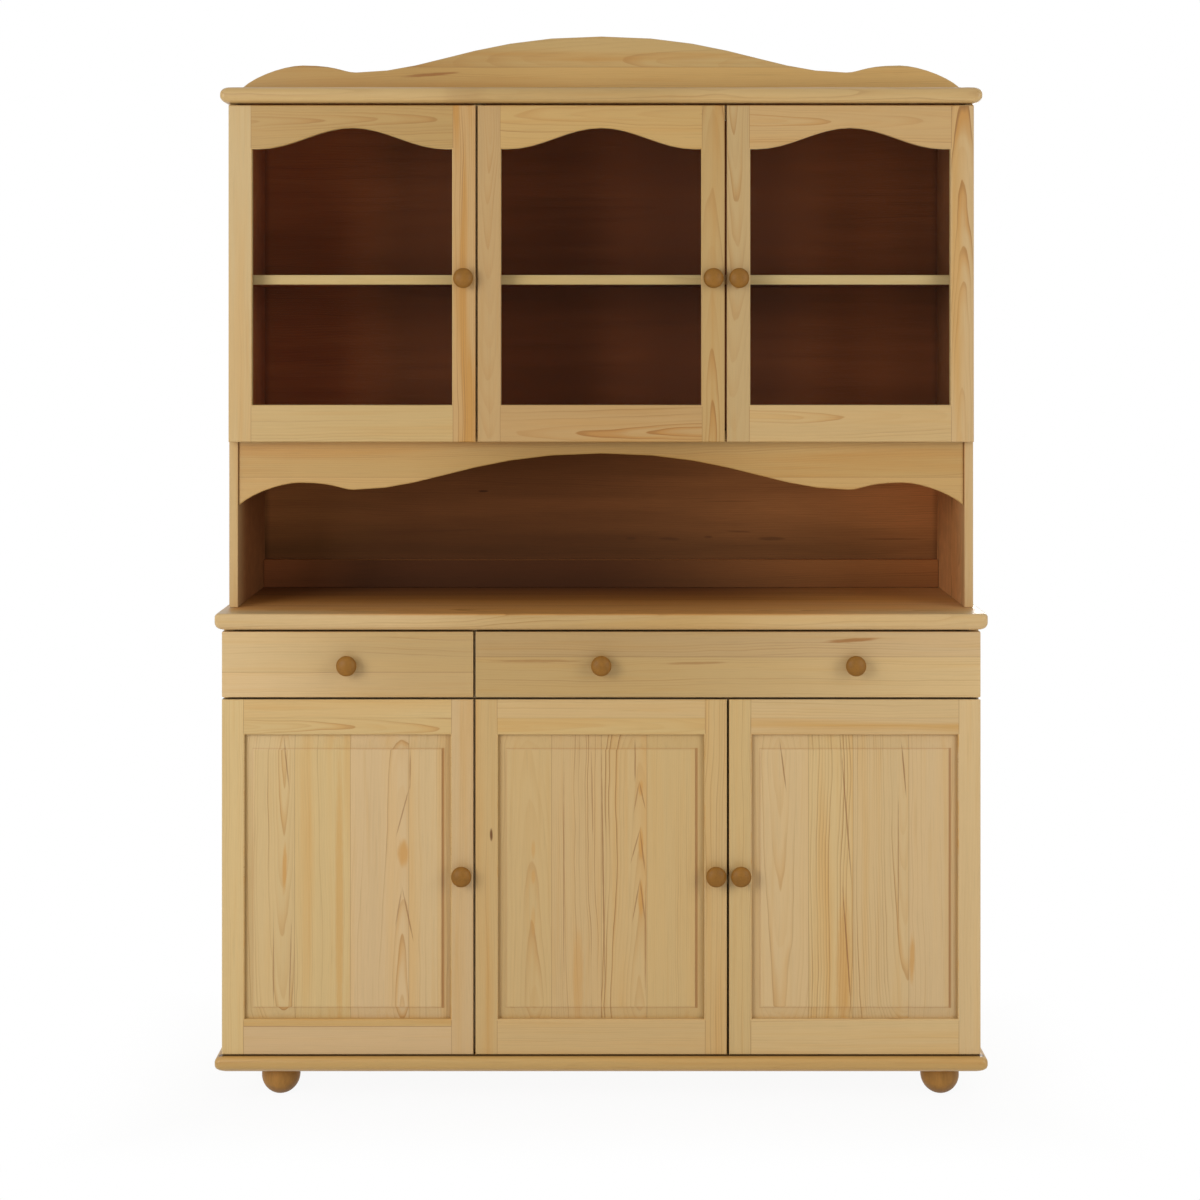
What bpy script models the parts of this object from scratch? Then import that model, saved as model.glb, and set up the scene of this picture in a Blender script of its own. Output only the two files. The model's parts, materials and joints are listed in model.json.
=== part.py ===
"""Pine dresser: a cupboard base with two drawers under a glazed hutch with a wave-cut crest.

Metres, +Z up. The front faces -Y, x = 0 is the middle of the width and z = 0 is the floor.
A "depth" is always measured forward from the plane of the back.
"""

import math

import bmesh
import bpy
from mathutils import Matrix, Vector
from mathutils.geometry import interpolate_bezier

# Air between pieces that touch, and the softened edges of sawn boards
FIT = 0.0003
EASE = 0.0016

# Plan of the whole dresser
WIDTH = 1.400
WORKTOP_DEPTH = 0.420
BASE_INSET = 0.012
HUTCH_INSET = 0.0125
GLAZED_DOOR_INSET = 0.015
HUTCH_SETBACK = 0.055
BASE_DOOR_SETBACK = 0.015
GLAZED_DOOR_SETBACK = 0.013

# Heights, from the floor up
FOOT_HEIGHT = 0.058
BASE_BOARD_THICK = 0.0295
BASE_DOOR_HEIGHT = 0.644
DRAWER_FRONT_HEIGHT = 0.119
WORKTOP_THICK = 0.030
NICHE_HEIGHT = 0.307
GLAZED_DOOR_HEIGHT = 0.619
TOP_BOARD_THICK = 0.029

# Rounded fronts and ends of the base board, the worktop and the top board, as (inset, height)
BASE_BOARD_LOW_ROUND = (0.026, 0.014)
BASE_BOARD_TOP_ROUND = (0.010, 0.010)
WORKTOP_LOW_ROUND = (0.013, 0.013)
WORKTOP_TOP_ROUND = (0.007, 0.007)
TOP_BOARD_ROUND = (0.014, 0.013)
CORNER_RADIUS = 0.010

# Carcass boards and their joints
BASE_SIDE_THICK = 0.018
HUTCH_SIDE_THICK = 0.0165
PARTITION_THICK = 0.018
SHELF_THICK = 0.018
BACK_THICK = 0.008
BACK_LAP = 0.008
HOUSING_DEPTH = 0.006
SHELF_SETBACK = 0.020
BASE_SHELF_CLEAR = 0.300
HUTCH_SHELF_CLEAR = 0.270
HUTCH_BOTTOM_REVEAL = 0.002
BACK_RAIL_HEIGHT = 0.055
BACK_RAIL_THICK = 0.018

# Ball feet, with a dowel that is glued into the base board. The left pair stands further in
FOOT_RADIUS = 0.0355
FOOT_BALL_CENTRE = 0.033
FOOT_LEFT_INSET = 0.110
FOOT_RIGHT_INSET = 0.076
FOOT_FRONT_INSET = 0.083
FOOT_REAR_INSET = 0.075
DOWEL_RADIUS = 0.009
DOWEL_LENGTH = 0.012

# Wave of the crest and the valance: heights above its ends, distances in from them, and
# how far each bend reaches along its span
WAVE_CROWN = 0.0963
WAVE_DIP = 0.0291
WAVE_HUMP = 0.0422
WAVE_DIP_IN = 0.213
WAVE_HUMP_IN = 0.113
WAVE_CROWN_PULL = 0.52
WAVE_DIP_INNER_PULL = 0.31
WAVE_DIP_OUTER_PULL = 0.26
WAVE_HUMP_INNER_PULL = 0.68
WAVE_HUMP_OUTER_PULL = 0.30
WAVE_END_PULL = 0.20
WAVE_END_LIFT = 0.022
WAVE_BOARD_THICK = 0.018
CREST_END_HEIGHT = 0.0057
CREST_SETBACK = 0.080
VALANCE_CROWN_HEIGHT = 0.0243
VALANCE_SETBACK = 0.005

# All doors and drawer fronts
DOORS_ACROSS = 3
DOOR_THICK = 0.020
DOOR_GAP = 0.004
DOOR_FLOOR_GAP = 0.0015
DOOR_STANDOFF = 0.002

# Fielded panel doors of the base
PANEL_STILE = 0.041
PANEL_RAIL = 0.064
GROOVE_FRONT = 0.009
GROOVE_WIDTH = 0.006
GROOVE_DEPTH = 0.008
PANEL_PLAY = 0.001
FIELD_RECESS = 0.002
FIELD_STEP = 0.002
FIELD_SIDE_MARGIN = 0.016
FIELD_TOP_MARGIN = 0.027
FIELD_BOTTOM_MARGIN = 0.022

# Glazed doors of the hutch
GLAZED_STILE = 0.043
GLAZED_BOTTOM_RAIL = 0.068
GLAZED_CROWN_RAIL = 0.0416
ARCH_RISE = 0.0389
ARCH_SHOULDER = 0.0125
REBATE_WIDTH = 0.009
REBATE_DEPTH = 0.008
PANE_THICK = 0.004
PANE_PLAY = 0.001

# Turned knobs
KNOB_DIAMETER = 0.037
KNOB_REACH = 0.030
KNOB_FOOT_DIAMETER = 0.021
KNOB_NECK_DIAMETER = 0.016
KNOB_NECK_REACH = 0.009
KNOB_RIM_REACH = 0.019
PANEL_KNOB_HEIGHT = 0.327
GLAZED_KNOB_HEIGHT = 0.301

# Concealed hinges: a cup bored into the door, and an arm on a plate inside the carcass
CUP_DIAMETER = 0.026
CUP_DEPTH = 0.011
CUP_EDGE = 0.005
HINGE_FROM_END = 0.090
PLATE_THICK = 0.0025
PLATE_SPAN = 0.048
PLATE_WING = 0.012
PLATE_FROM_EDGE = 0.037
ARM_HEIGHT = 0.011
ARM_DEPTH = 0.010
ARM_FROM_EDGE = 0.006
ARM_LENGTH = 0.050
ARM_NOSE_WIDTH = 0.008
ARM_NOSE_OFFSET = 0.002

# Drawers
DRAWER_SIDE_THICK = 0.012
DRAWER_FLOOR_THICK = 0.006
DRAWER_FLOOR_RISE = 0.008
DRAWER_PLAY = 0.001
DRAWER_HEADROOM = 0.022
DRAWER_BACK_CLEAR = 0.012

# Facets of round work
TURN_STEPS = 20
KNOB_HEAD_STEPS = 4
FOOT_STEPS = 6
NOSE_STEPS = 5
CORNER_STEPS = 3
WAVE_STEPS = 8
ARCH_STEPS = 16

# Depths of the main planes
BASE_DOOR_FRONT = WORKTOP_DEPTH - BASE_DOOR_SETBACK
BASE_SIDE_DEPTH = BASE_DOOR_FRONT - DOOR_THICK - DOOR_STANDOFF
TOP_BOARD_DEPTH = WORKTOP_DEPTH - HUTCH_SETBACK
GLAZED_DOOR_FRONT = TOP_BOARD_DEPTH - GLAZED_DOOR_SETBACK
HUTCH_SIDE_DEPTH = GLAZED_DOOR_FRONT - DOOR_THICK - DOOR_STANDOFF
INSIDE_BACK = BACK_THICK + FIT
BACK_Y = max(WORKTOP_DEPTH, BASE_DOOR_FRONT + FIT + KNOB_REACH) / 2

# Half widths
BASE_HALF = WIDTH / 2 - BASE_INSET
BASE_INNER = BASE_HALF - BASE_SIDE_THICK
HUTCH_HALF = WIDTH / 2 - HUTCH_INSET
HUTCH_INNER = HUTCH_HALF - HUTCH_SIDE_THICK
GLAZED_HALF = WIDTH / 2 - GLAZED_DOOR_INSET

# Levels
FLOOR_Z = FOOT_HEIGHT + BASE_BOARD_THICK
PANEL_DOOR_Z = FLOOR_Z + DOOR_FLOOR_GAP
DRAWER_FRONT_Z = PANEL_DOOR_Z + BASE_DOOR_HEIGHT + DOOR_GAP
WORKTOP_Z = DRAWER_FRONT_Z + DRAWER_FRONT_HEIGHT + DOOR_GAP
WORKTOP_TOP = WORKTOP_Z + WORKTOP_THICK
GLAZED_DOOR_Z = WORKTOP_TOP + NICHE_HEIGHT
HUTCH_BOTTOM_Z = GLAZED_DOOR_Z + HUTCH_BOTTOM_REVEAL
HUTCH_FLOOR_Z = HUTCH_BOTTOM_Z + SHELF_THICK
TOP_BOARD_Z = GLAZED_DOOR_Z + GLAZED_DOOR_HEIGHT + DOOR_GAP
TOP_BOARD_TOP = TOP_BOARD_Z + TOP_BOARD_THICK
DRAWER_BOARD_Z = DRAWER_FRONT_Z - (DOOR_GAP + SHELF_THICK) / 2
DRAWER_FLOOR_Z = DRAWER_BOARD_Z + SHELF_THICK
BASE_SHELF_Z = FLOOR_Z + BASE_SHELF_CLEAR
HUTCH_SHELF_Z = HUTCH_FLOOR_Z + HUTCH_SHELF_CLEAR

# Doors across the width, and the partition behind the first gap
BASE_DOOR_WIDTH = (2 * BASE_HALF - (DOORS_ACROSS - 1) * DOOR_GAP) / DOORS_ACROSS
GLAZED_DOOR_WIDTH = (2 * GLAZED_HALF - (DOORS_ACROSS - 1) * DOOR_GAP) / DOORS_ACROSS
BASE_PARTITION_X = -BASE_HALF + BASE_DOOR_WIDTH + DOOR_GAP / 2
HUTCH_PARTITION_X = -GLAZED_HALF + GLAZED_DOOR_WIDTH + DOOR_GAP / 2

CUTTER_MARGIN = 0.010
SHARP_ANGLE = math.radians(40)


def y_at(depth):
    return BACK_Y - depth


# Mesh tools


def finished_mesh(bm, name):
    bmesh.ops.recalc_face_normals(bm, faces=bm.faces[:])
    mesh = bpy.data.meshes.new(name)
    bm.to_mesh(mesh)
    bm.free()
    mesh.shade_smooth()
    mesh.set_sharp_from_angle(angle=SHARP_ANGLE)
    return mesh


def loft(name, rings, closed=False):
    """Skins a row of outlines with equal counts of points. An open row gets a cap at each end."""
    bm = bmesh.new()
    loops = [[bm.verts.new(point) for point in ring] for ring in rings]
    pairs = list(zip(loops, loops[1:]))
    if closed:
        pairs.append((loops[-1], loops[0]))
    else:
        bm.faces.new(loops[0])
        bm.faces.new(loops[-1])
    for near, far in pairs:
        for i in range(len(near)):
            j = (i + 1) % len(near)
            bm.faces.new((near[i], near[j], far[j], far[i]))
    return finished_mesh(bm, name)


def box(name, x, depth, z):
    """A plain block from three (low, high) spans, the second as depths from the back."""
    def ring(level):
        near, far = y_at(depth[1]), y_at(depth[0])
        return [(x[0], near, level), (x[1], near, level), (x[1], far, level), (x[0], far, level)]

    return loft(name, [ring(z[0]), ring(z[1])])


def eased(mesh, width=EASE, segments=2):
    """Softens every sharp edge of a mesh, and returns that mesh."""
    bm = bmesh.new()
    bm.from_mesh(mesh)
    edges = [edge for edge in bm.edges if edge.calc_face_angle(0) > SHARP_ANGLE]
    bmesh.ops.bevel(
        bm, geom=edges, offset=width, segments=segments, profile=0.5, affect="EDGES", clamp_overlap=True
    )
    name = mesh.name
    bpy.data.meshes.remove(mesh)
    return finished_mesh(bm, name)


def combined(mesh, tools, operation="DIFFERENCE"):
    """Cuts each tool out of a mesh in turn, or joins it on, and uses the tools up."""
    work = bpy.data.objects.new(mesh.name, mesh)
    bpy.context.scene.collection.objects.link(work)
    helpers = []
    for tool in tools:
        helper = bpy.data.objects.new(tool.name, tool)
        helper.hide_render = True
        helper.display_type = "WIRE"
        bpy.context.scene.collection.objects.link(helper)
        helpers.append(helper)
        step = work.modifiers.new(tool.name, "BOOLEAN")
        step.operation = operation
        step.solver = "EXACT"
        step.object = helper
    result = bpy.data.meshes.new_from_object(work.evaluated_get(bpy.context.evaluated_depsgraph_get()))
    name = mesh.name
    for used in [work, *helpers]:
        data = used.data
        bpy.data.objects.remove(used)
        bpy.data.meshes.remove(data)
    result.name = name
    result.shade_smooth()
    result.set_sharp_from_angle(angle=SHARP_ANGLE)
    return result


def turned(name, profile):
    """Turns a profile of (radius, height) about +Z. It starts and ends on the axis."""
    bm = bmesh.new()
    poles = (bm.verts.new((0, 0, profile[0][1])), bm.verts.new((0, 0, profile[-1][1])))
    rings = []
    for radius, height in profile[1:-1]:
        turns = [2 * math.pi * i / TURN_STEPS for i in range(TURN_STEPS)]
        rings.append([bm.verts.new((radius * math.cos(a), radius * math.sin(a), height)) for a in turns])
    for i in range(TURN_STEPS):
        j = (i + 1) % TURN_STEPS
        bm.faces.new((poles[0], rings[0][j], rings[0][i]))
        bm.faces.new((poles[1], rings[-1][i], rings[-1][j]))
        for lower, upper in zip(rings, rings[1:]):
            bm.faces.new((lower[i], lower[j], upper[j], upper[i]))
    return finished_mesh(bm, name)


def arc(centre, radii, start, end, steps):
    """Points on an ellipse about (radius, height), with angles in degrees from the radius axis."""
    points = []
    for i in range(steps + 1):
        angle = math.radians(start + (end - start) * i / steps)
        points.append((centre[0] + radii[0] * math.cos(angle), centre[1] + radii[1] * math.sin(angle)))
    return points


# Finishes


def finish(name, color, roughness, metallic=0.0, transmission=0.0):
    material = bpy.data.materials.new(name)
    material.use_nodes = True
    shader = material.node_tree.nodes["Principled BSDF"]
    shader.inputs["Base Color"].default_value = (*color, 1.0)
    shader.inputs["Roughness"].default_value = roughness
    shader.inputs["Metallic"].default_value = metallic
    shader.inputs["Transmission Weight"].default_value = transmission
    material.diffuse_color = (*color, 1.0)
    return material


# Placing


def pivot(name, location):
    """An empty on a joint's axis, which carries the pieces that move with it."""
    empty = bpy.data.objects.new(name, None)
    empty.empty_display_size = 0.03
    empty.location = location
    bpy.context.scene.collection.objects.link(empty)
    return empty


def place(name, mesh, material, carrier=None, at=(0, 0, 0), turn=None):
    """Makes one named piece from a mesh drawn in the dresser's frame, or drawn about its own origin."""
    piece = bpy.data.objects.new(name, mesh)
    if not mesh.materials:
        mesh.materials.append(material)
    home = Vector(at)
    if carrier:
        piece.parent = carrier
        home = home - carrier.location
    piece.location = home
    if turn:
        piece.rotation_euler = turn
    bpy.context.scene.collection.objects.link(piece)
    return piece


# Boards with a rounded front and ends


def nose_profile(thick, low_round, top_round):
    """(inset, height) up the rounded edge of a board. Each round keeps to its own half of the board."""
    half = thick / 2 - FIT
    low_inset, low_height = low_round[0], min(low_round[1], half)
    top_inset, top_height = top_round[0], min(top_round[1], half)
    low = arc((0, low_height), (low_inset, low_height), -90, 0, NOSE_STEPS)
    top = arc((0, thick - top_height), (top_inset, top_height), 0, 90, NOSE_STEPS)
    return [(low_inset - x, z) for x, z in low] + [(top_inset - x, z) for x, z in top]


def nosed_board(name, depth, level, thick, low_round, top_round):
    """A board over the full width, square at the back and rounded along the front and both ends."""
    rings = []
    for inset, rise in nose_profile(thick, low_round, top_round):
        reach = WIDTH / 2 - inset - CORNER_RADIUS
        near = y_at(depth - inset - CORNER_RADIUS)
        right = arc((reach, near), (CORNER_RADIUS, CORNER_RADIUS), 0, -90, CORNER_STEPS)
        left = arc((-reach, near), (CORNER_RADIUS, CORNER_RADIUS), -90, -180, CORNER_STEPS)
        rear = [(-WIDTH / 2 + inset, y_at(0)), (WIDTH / 2 - inset, y_at(0))]
        rings.append([(x, y, level + rise) for x, y in right + left + rear])
    return loft(name, rings)


# Feet


def foot_places():
    left = FOOT_LEFT_INSET - WIDTH / 2
    right = WIDTH / 2 - FOOT_RIGHT_INSET
    front = y_at(WORKTOP_DEPTH - FOOT_FRONT_INSET)
    rear = y_at(FOOT_REAR_INSET)
    return {
        "foot_front_left": (left, front, 0),
        "foot_front_right": (right, front, 0),
        "foot_rear_left": (left, rear, 0),
        "foot_rear_right": (right, rear, 0),
    }


def foot_mesh():
    """A ball flattened where it stands and where it meets the board, with a dowel on top."""
    top = FOOT_HEIGHT - FIT
    low = math.degrees(math.asin(-FOOT_BALL_CENTRE / FOOT_RADIUS))
    high = math.degrees(math.asin((top - FOOT_BALL_CENTRE) / FOOT_RADIUS))
    ball = arc((0, FOOT_BALL_CENTRE), (FOOT_RADIUS, FOOT_RADIUS), low, high, FOOT_STEPS)
    dowel_top = top + DOWEL_LENGTH
    dowel = [(DOWEL_RADIUS, top), (DOWEL_RADIUS, dowel_top), (0, dowel_top)]
    return turned("foot", [(0, 0), *ball, *dowel])


def dowel_bores():
    """Blind holes for the dowels, open at the underside of the base board."""
    radius = DOWEL_RADIUS + FIT
    depth = DOWEL_LENGTH + FIT
    profile = [(0, -CUTTER_MARGIN), (radius, -CUTTER_MARGIN), (radius, depth), (0, depth)]
    bores = []
    for name, spot in foot_places().items():
        bore = turned("bore_" + name, profile)
        bore.transform(Matrix.Translation((spot[0], spot[1], FOOT_HEIGHT)))
        bores.append(bore)
    return bores


# Carcass boards


def housing(inner, side, level, front):
    """The shallow trench in a side that takes a shelf's end."""
    x = sorted((side * (inner - CUTTER_MARGIN), side * (inner + HOUSING_DEPTH)))
    return box("housing", x, (-CUTTER_MARGIN, front + FIT), (level - FIT, level + SHELF_THICK + FIT))


def side_board(name, side, half, inner, depth, z, shelves):
    """An end of the base or the hutch, rebated for the back and housed for each (level, front) shelf."""
    board = eased(box(name, sorted((side * inner, side * half)), (0, depth), z))
    lap = sorted((side * (inner - CUTTER_MARGIN), side * (inner + BACK_LAP)))
    rebate = box("rebate", lap, (-CUTTER_MARGIN, INSIDE_BACK), (z[0] - CUTTER_MARGIN, z[1] + CUTTER_MARGIN))
    return combined(board, [rebate] + [housing(inner, side, level, front) for level, front in shelves])


def lap_depth(depth):
    return (INSIDE_BACK + depth) / 2


def shelf_board(name, inner, level, front, crossing=None, lap=0.0):
    """A board housed in both sides, slotted from its front where it crosses a partition."""
    reach = inner + HOUSING_DEPTH - FIT
    board = eased(box(name, (-reach, reach), (INSIDE_BACK, front), (level, level + SHELF_THICK)))
    if crossing is None:
        return board
    slot = (crossing - PARTITION_THICK / 2 - FIT, crossing + PARTITION_THICK / 2 + FIT)
    span = (level - CUTTER_MARGIN, level + SHELF_THICK + CUTTER_MARGIN)
    return combined(board, [box("slot", slot, (lap - FIT, front + CUTTER_MARGIN), span)])


def partition(name, x, depth, z, levels, lap):
    """An upright divider, slotted from its back for each shelf that crosses it."""
    span = (x - PARTITION_THICK / 2, x + PARTITION_THICK / 2)
    board = eased(box(name, span, (INSIDE_BACK, depth), z))
    wide = (span[0] - CUTTER_MARGIN, span[1] + CUTTER_MARGIN)
    slots = []
    for level in levels:
        height = (level - FIT, level + SHELF_THICK + FIT)
        slots.append(box("slot", wide, (-CUTTER_MARGIN, lap), height))
    return combined(board, slots)


def back_panel(name, inner, z):
    reach = inner + BACK_LAP - FIT
    return eased(box(name, (-reach, reach), (0, BACK_THICK), z), EASE / 2, 1)


# Wave-cut boards


def wave(half):
    """(x, height above the ends) along the wave, from its left end to its right end."""
    crown = Vector((0, WAVE_CROWN))
    dip = Vector((half - WAVE_DIP_IN, WAVE_DIP))
    hump = Vector((half - WAVE_HUMP_IN, WAVE_HUMP))
    end = Vector((half, 0))
    long_span = Vector((dip.x - crown.x, 0))
    rise_span = Vector((hump.x - dip.x, 0))
    end_span = Vector((end.x - hump.x, 0))
    end_handle = end - WAVE_END_PULL * end_span + Vector((0, WAVE_END_LIFT))
    spans = [
        (crown, crown + WAVE_CROWN_PULL * long_span, dip - WAVE_DIP_INNER_PULL * long_span, dip),
        (dip, dip + WAVE_DIP_OUTER_PULL * rise_span, hump - WAVE_HUMP_INNER_PULL * rise_span, hump),
        (hump, hump + WAVE_HUMP_OUTER_PULL * end_span, end_handle, end),
    ]
    right = [crown]
    for span in spans:
        right += interpolate_bezier(*span, WAVE_STEPS)[1:]
    left = [Vector((-point.x, point.y)) for point in reversed(right[1:])]
    return left + right


def wave_board(name, outline, front):
    """A board sawn to an outline of (x, z), standing behind its front plane."""
    faces = []
    for depth in (front, front - WAVE_BOARD_THICK):
        faces.append([(x, y_at(depth), z) for x, z in outline])
    return eased(loft(name, faces), segments=1)


def crest_mesh():
    foot = TOP_BOARD_TOP + FIT
    half = HUTCH_INNER - FIT
    top = [(point.x, foot + CREST_END_HEIGHT + point.y) for point in wave(half)]
    return wave_board("crest", [(half, foot), (-half, foot)] + top, TOP_BOARD_DEPTH - CREST_SETBACK)


def valance_mesh():
    head = HUTCH_BOTTOM_Z - FIT
    half = HUTCH_INNER - FIT
    crown = head - VALANCE_CROWN_HEIGHT
    edge = [(point.x, crown - WAVE_CROWN + point.y) for point in wave(half)]
    return wave_board("valance", [(half, head), (-half, head)] + edge, HUTCH_SIDE_DEPTH - VALANCE_SETBACK)


# Doors


def rectangle(x, z, y, steps=None):
    """A rectangle in the plane y. Steps are shares across its top, from +1 at the right to -1."""
    middle, half = (x[0] + x[1]) / 2, (x[1] - x[0]) / 2
    shares = steps or (1, -1)
    return [(x[0], y, z[0]), (x[1], y, z[0])] + [(middle + half * share, y, z[1]) for share in shares]


def grown(span, margin):
    return span[0] - margin, span[1] + margin


def cup_bores(hinge_x, toward, z, back_y):
    """The two cup recesses in the back of a door, near its hinged edge."""
    bores = []
    radius = CUP_DIAMETER / 2
    profile = [(0, -CUP_DEPTH), (radius, -CUP_DEPTH), (radius, CUTTER_MARGIN), (0, CUTTER_MARGIN)]
    for height in hinge_heights(z):
        bore = turned("cup_bore", profile)
        spot = Vector((hinge_x + toward * (CUP_EDGE + radius), back_y, height))
        bore.transform(Matrix.Translation(spot) @ Matrix.Rotation(math.radians(-90), 4, "X"))
        bores.append(bore)
    return bores


def hinge_heights(z):
    return z[0] + HINGE_FROM_END, z[1] - HINGE_FROM_END


def panel_frame(name, x, z, front):
    """Stiles and rails round a plain opening, grooved on the inside for the panel."""
    opening = (grown(x, -PANEL_STILE), grown(z, -PANEL_RAIL))
    back = front + DOOR_THICK
    groove = (front + GROOVE_FRONT, front + GROOVE_FRONT + GROOVE_WIDTH)

    def outer(inset, y):
        return rectangle(grown(x, -inset), grown(z, -inset), y)

    def inner(outset, y):
        return rectangle(grown(opening[0], outset), grown(opening[1], outset), y)

    rings = [
        outer(EASE, front), outer(0, front + EASE), outer(0, back - EASE), outer(EASE, back),
        inner(EASE, back), inner(0, back - EASE), inner(0, groove[1]), inner(GROOVE_DEPTH, groove[1]),
        inner(GROOVE_DEPTH, groove[0]), inner(0, groove[0]), inner(0, front + EASE), inner(EASE, front),
    ]
    return loft(name, rings, closed=True)


def fielded_panel(name, x, z, front):
    """A panel with a raised field, whose bevelled margin ends in a tongue in the frame's groove."""
    opening = (grown(x, -PANEL_STILE), grown(z, -PANEL_RAIL))
    tongue = GROOVE_DEPTH - PANEL_PLAY
    tongue_front = front + GROOVE_FRONT + FIT
    tongue_back = front + GROOVE_FRONT + GROOVE_WIDTH - FIT
    field_x = grown(opening[0], -FIELD_SIDE_MARGIN)
    field_z = (opening[1][0] + FIELD_BOTTOM_MARGIN, opening[1][1] - FIELD_TOP_MARGIN)
    field_y = front + FIELD_RECESS

    def edge(outset, y):
        return rectangle(grown(opening[0], outset), grown(opening[1], outset), y)

    rings = [
        edge(tongue, tongue_back),
        edge(tongue, tongue_front),
        edge(-FIT, tongue_front),
        rectangle(field_x, field_z, field_y + FIELD_STEP),
        rectangle(field_x, field_z, field_y + EASE / 2),
        rectangle(grown(field_x, -EASE), grown(field_z, -EASE), field_y),
    ]
    return loft(name, rings)


def arch_shares(half):
    """Shares across a window's top, close together where the arch is cut."""
    cut = (half - ARCH_SHOULDER) / half
    return [1] + [cut * (1 - 2 * i / ARCH_STEPS) for i in range(ARCH_STEPS + 1)] + [-1]


def window_opening(x, z):
    return grown(x, -GLAZED_STILE), (z[0] + GLAZED_BOTTOM_RAIL, z[1] - GLAZED_CROWN_RAIL)


def glazed_frame(name, x, z, front):
    """Stiles and rails round a window with a wave-cut head, rebated behind for the pane."""
    window_x, window_z = window_opening(x, z)
    half = (window_x[1] - window_x[0]) / 2
    shares = arch_shares(half)
    back = front + DOOR_THICK
    seat = back - REBATE_DEPTH

    def outer(inset, y):
        return rectangle(grown(x, -inset), grown(z, -inset), y, shares)

    def rebate(outset, y):
        width = REBATE_WIDTH + outset
        return rectangle(grown(window_x, width), grown(window_z, width), y, shares)

    def window(outset, y):
        points = rectangle(grown(window_x, outset), grown(window_z, outset), y, shares)
        head = []
        for share, point in zip(shares, points[2:]):
            swing = min(1, abs(share) * half / (half - ARCH_SHOULDER))
            drop = ARCH_RISE * (1 - math.cos(math.pi * swing)) / 2
            head.append((point[0], y, point[2] - drop))
        return points[:2] + head

    rings = [
        outer(EASE, front), outer(0, front + EASE), outer(0, back - EASE), outer(EASE, back),
        rebate(EASE / 2, back), rebate(0, back - EASE / 2), rebate(0, seat),
        window(0, seat), window(0, front + EASE), window(EASE, front),
    ]
    return loft(name, rings, closed=True)


def pane_mesh(name, x, z, front):
    window_x, window_z = window_opening(x, z)
    reach = REBATE_WIDTH - PANE_PLAY
    near = front + DOOR_THICK - REBATE_DEPTH + FIT
    rings = []
    for y in (near, near + PANE_THICK):
        rings.append(rectangle(grown(window_x, reach), grown(window_z, reach), y))
    return loft(name, rings)


def knob_mesh():
    """A mushroom knob turned about -Y, standing on the origin."""
    head = KNOB_DIAMETER / 2
    neck = KNOB_NECK_DIAMETER / 2
    swell = (head - neck, KNOB_RIM_REACH - KNOB_NECK_REACH)
    under = arc((neck, KNOB_RIM_REACH), swell, -90, 0, KNOB_HEAD_STEPS)
    over = arc((0, KNOB_RIM_REACH), (head, KNOB_REACH - KNOB_RIM_REACH), 0, 90, KNOB_HEAD_STEPS + 1)
    stem = [(0, 0), (KNOB_FOOT_DIAMETER / 2, 0), (neck, KNOB_NECK_REACH / 2)]
    mesh = turned("knob", stem + under + over[1:-1] + [(0, KNOB_REACH)])
    mesh.transform(Matrix.Rotation(math.radians(90), 4, "X"))
    return mesh


# Concealed hinges


def hinge_mesh(name, cover):
    """A hinge arm and its plate, for a door that covers so much of the board that carries it.

    Drawn about the door's hinged front edge, with the door running along +X and its back at
    y = DOOR_THICK. The nose of the arm reaches the floor of the cup, a little past its middle, so
    that it swings clear of the cup's wall, and the plate lies on the carrier's face.
    """
    edge = DOOR_THICK + DOOR_STANDOFF
    seat = cover + FIT
    shelf = cover + PLATE_THICK
    nose = CUP_EDGE + CUP_DIAMETER / 2 + ARM_NOSE_OFFSET
    cup_floor = DOOR_THICK - CUP_DEPTH + FIT
    start = edge + ARM_FROM_EDGE
    tail = edge + ARM_FROM_EDGE + ARM_LENGTH
    arm = [
        (nose, cup_floor),
        (nose + ARM_NOSE_WIDTH, cup_floor),
        (nose + ARM_NOSE_WIDTH, edge),
        (shelf + ARM_DEPTH, start + ARM_NOSE_WIDTH / 2),
        (shelf + ARM_DEPTH, tail - ARM_DEPTH),
        (shelf + ARM_DEPTH / 3, tail),
        (seat + FIT, tail),
        (seat + FIT, start),
        (nose, edge),
    ]
    layers = []
    for height in (-ARM_HEIGHT / 2, ARM_HEIGHT / 2):
        layers.append([(x, y, height) for x, y in arm])
    wing = (edge + PLATE_FROM_EDGE - PLATE_WING / 2, edge + PLATE_FROM_EDGE + PLATE_WING / 2)
    sides = []
    for x in (seat, shelf):
        sides.append([
            (x, wing[0], -PLATE_SPAN / 2), (x, wing[1], -PLATE_SPAN / 2),
            (x, wing[1], PLATE_SPAN / 2), (x, wing[0], PLATE_SPAN / 2),
        ])
    return combined(loft(name, layers), [loft("plate", sides)], "UNION")


# Drawers


def drawer_box(name, x, z, front):
    """Sides, ends and a raised floor: open above, with the sides' lower edges as runners."""
    rear = INSIDE_BACK + DRAWER_BACK_CLEAR
    tray = eased(box(name, x, (rear, front), z), EASE / 2, 1)
    inside_x = grown(x, -DRAWER_SIDE_THICK)
    inside_depth = grown((rear, front), -DRAWER_SIDE_THICK)
    floor = z[0] + DRAWER_FLOOR_RISE
    hollow = box("hollow", inside_x, inside_depth, (floor + DRAWER_FLOOR_THICK, z[1] + CUTTER_MARGIN))
    under = box("under", inside_x, inside_depth, (z[0] - CUTTER_MARGIN, floor))
    return combined(tray, [hollow, under])


# Assembly


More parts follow.
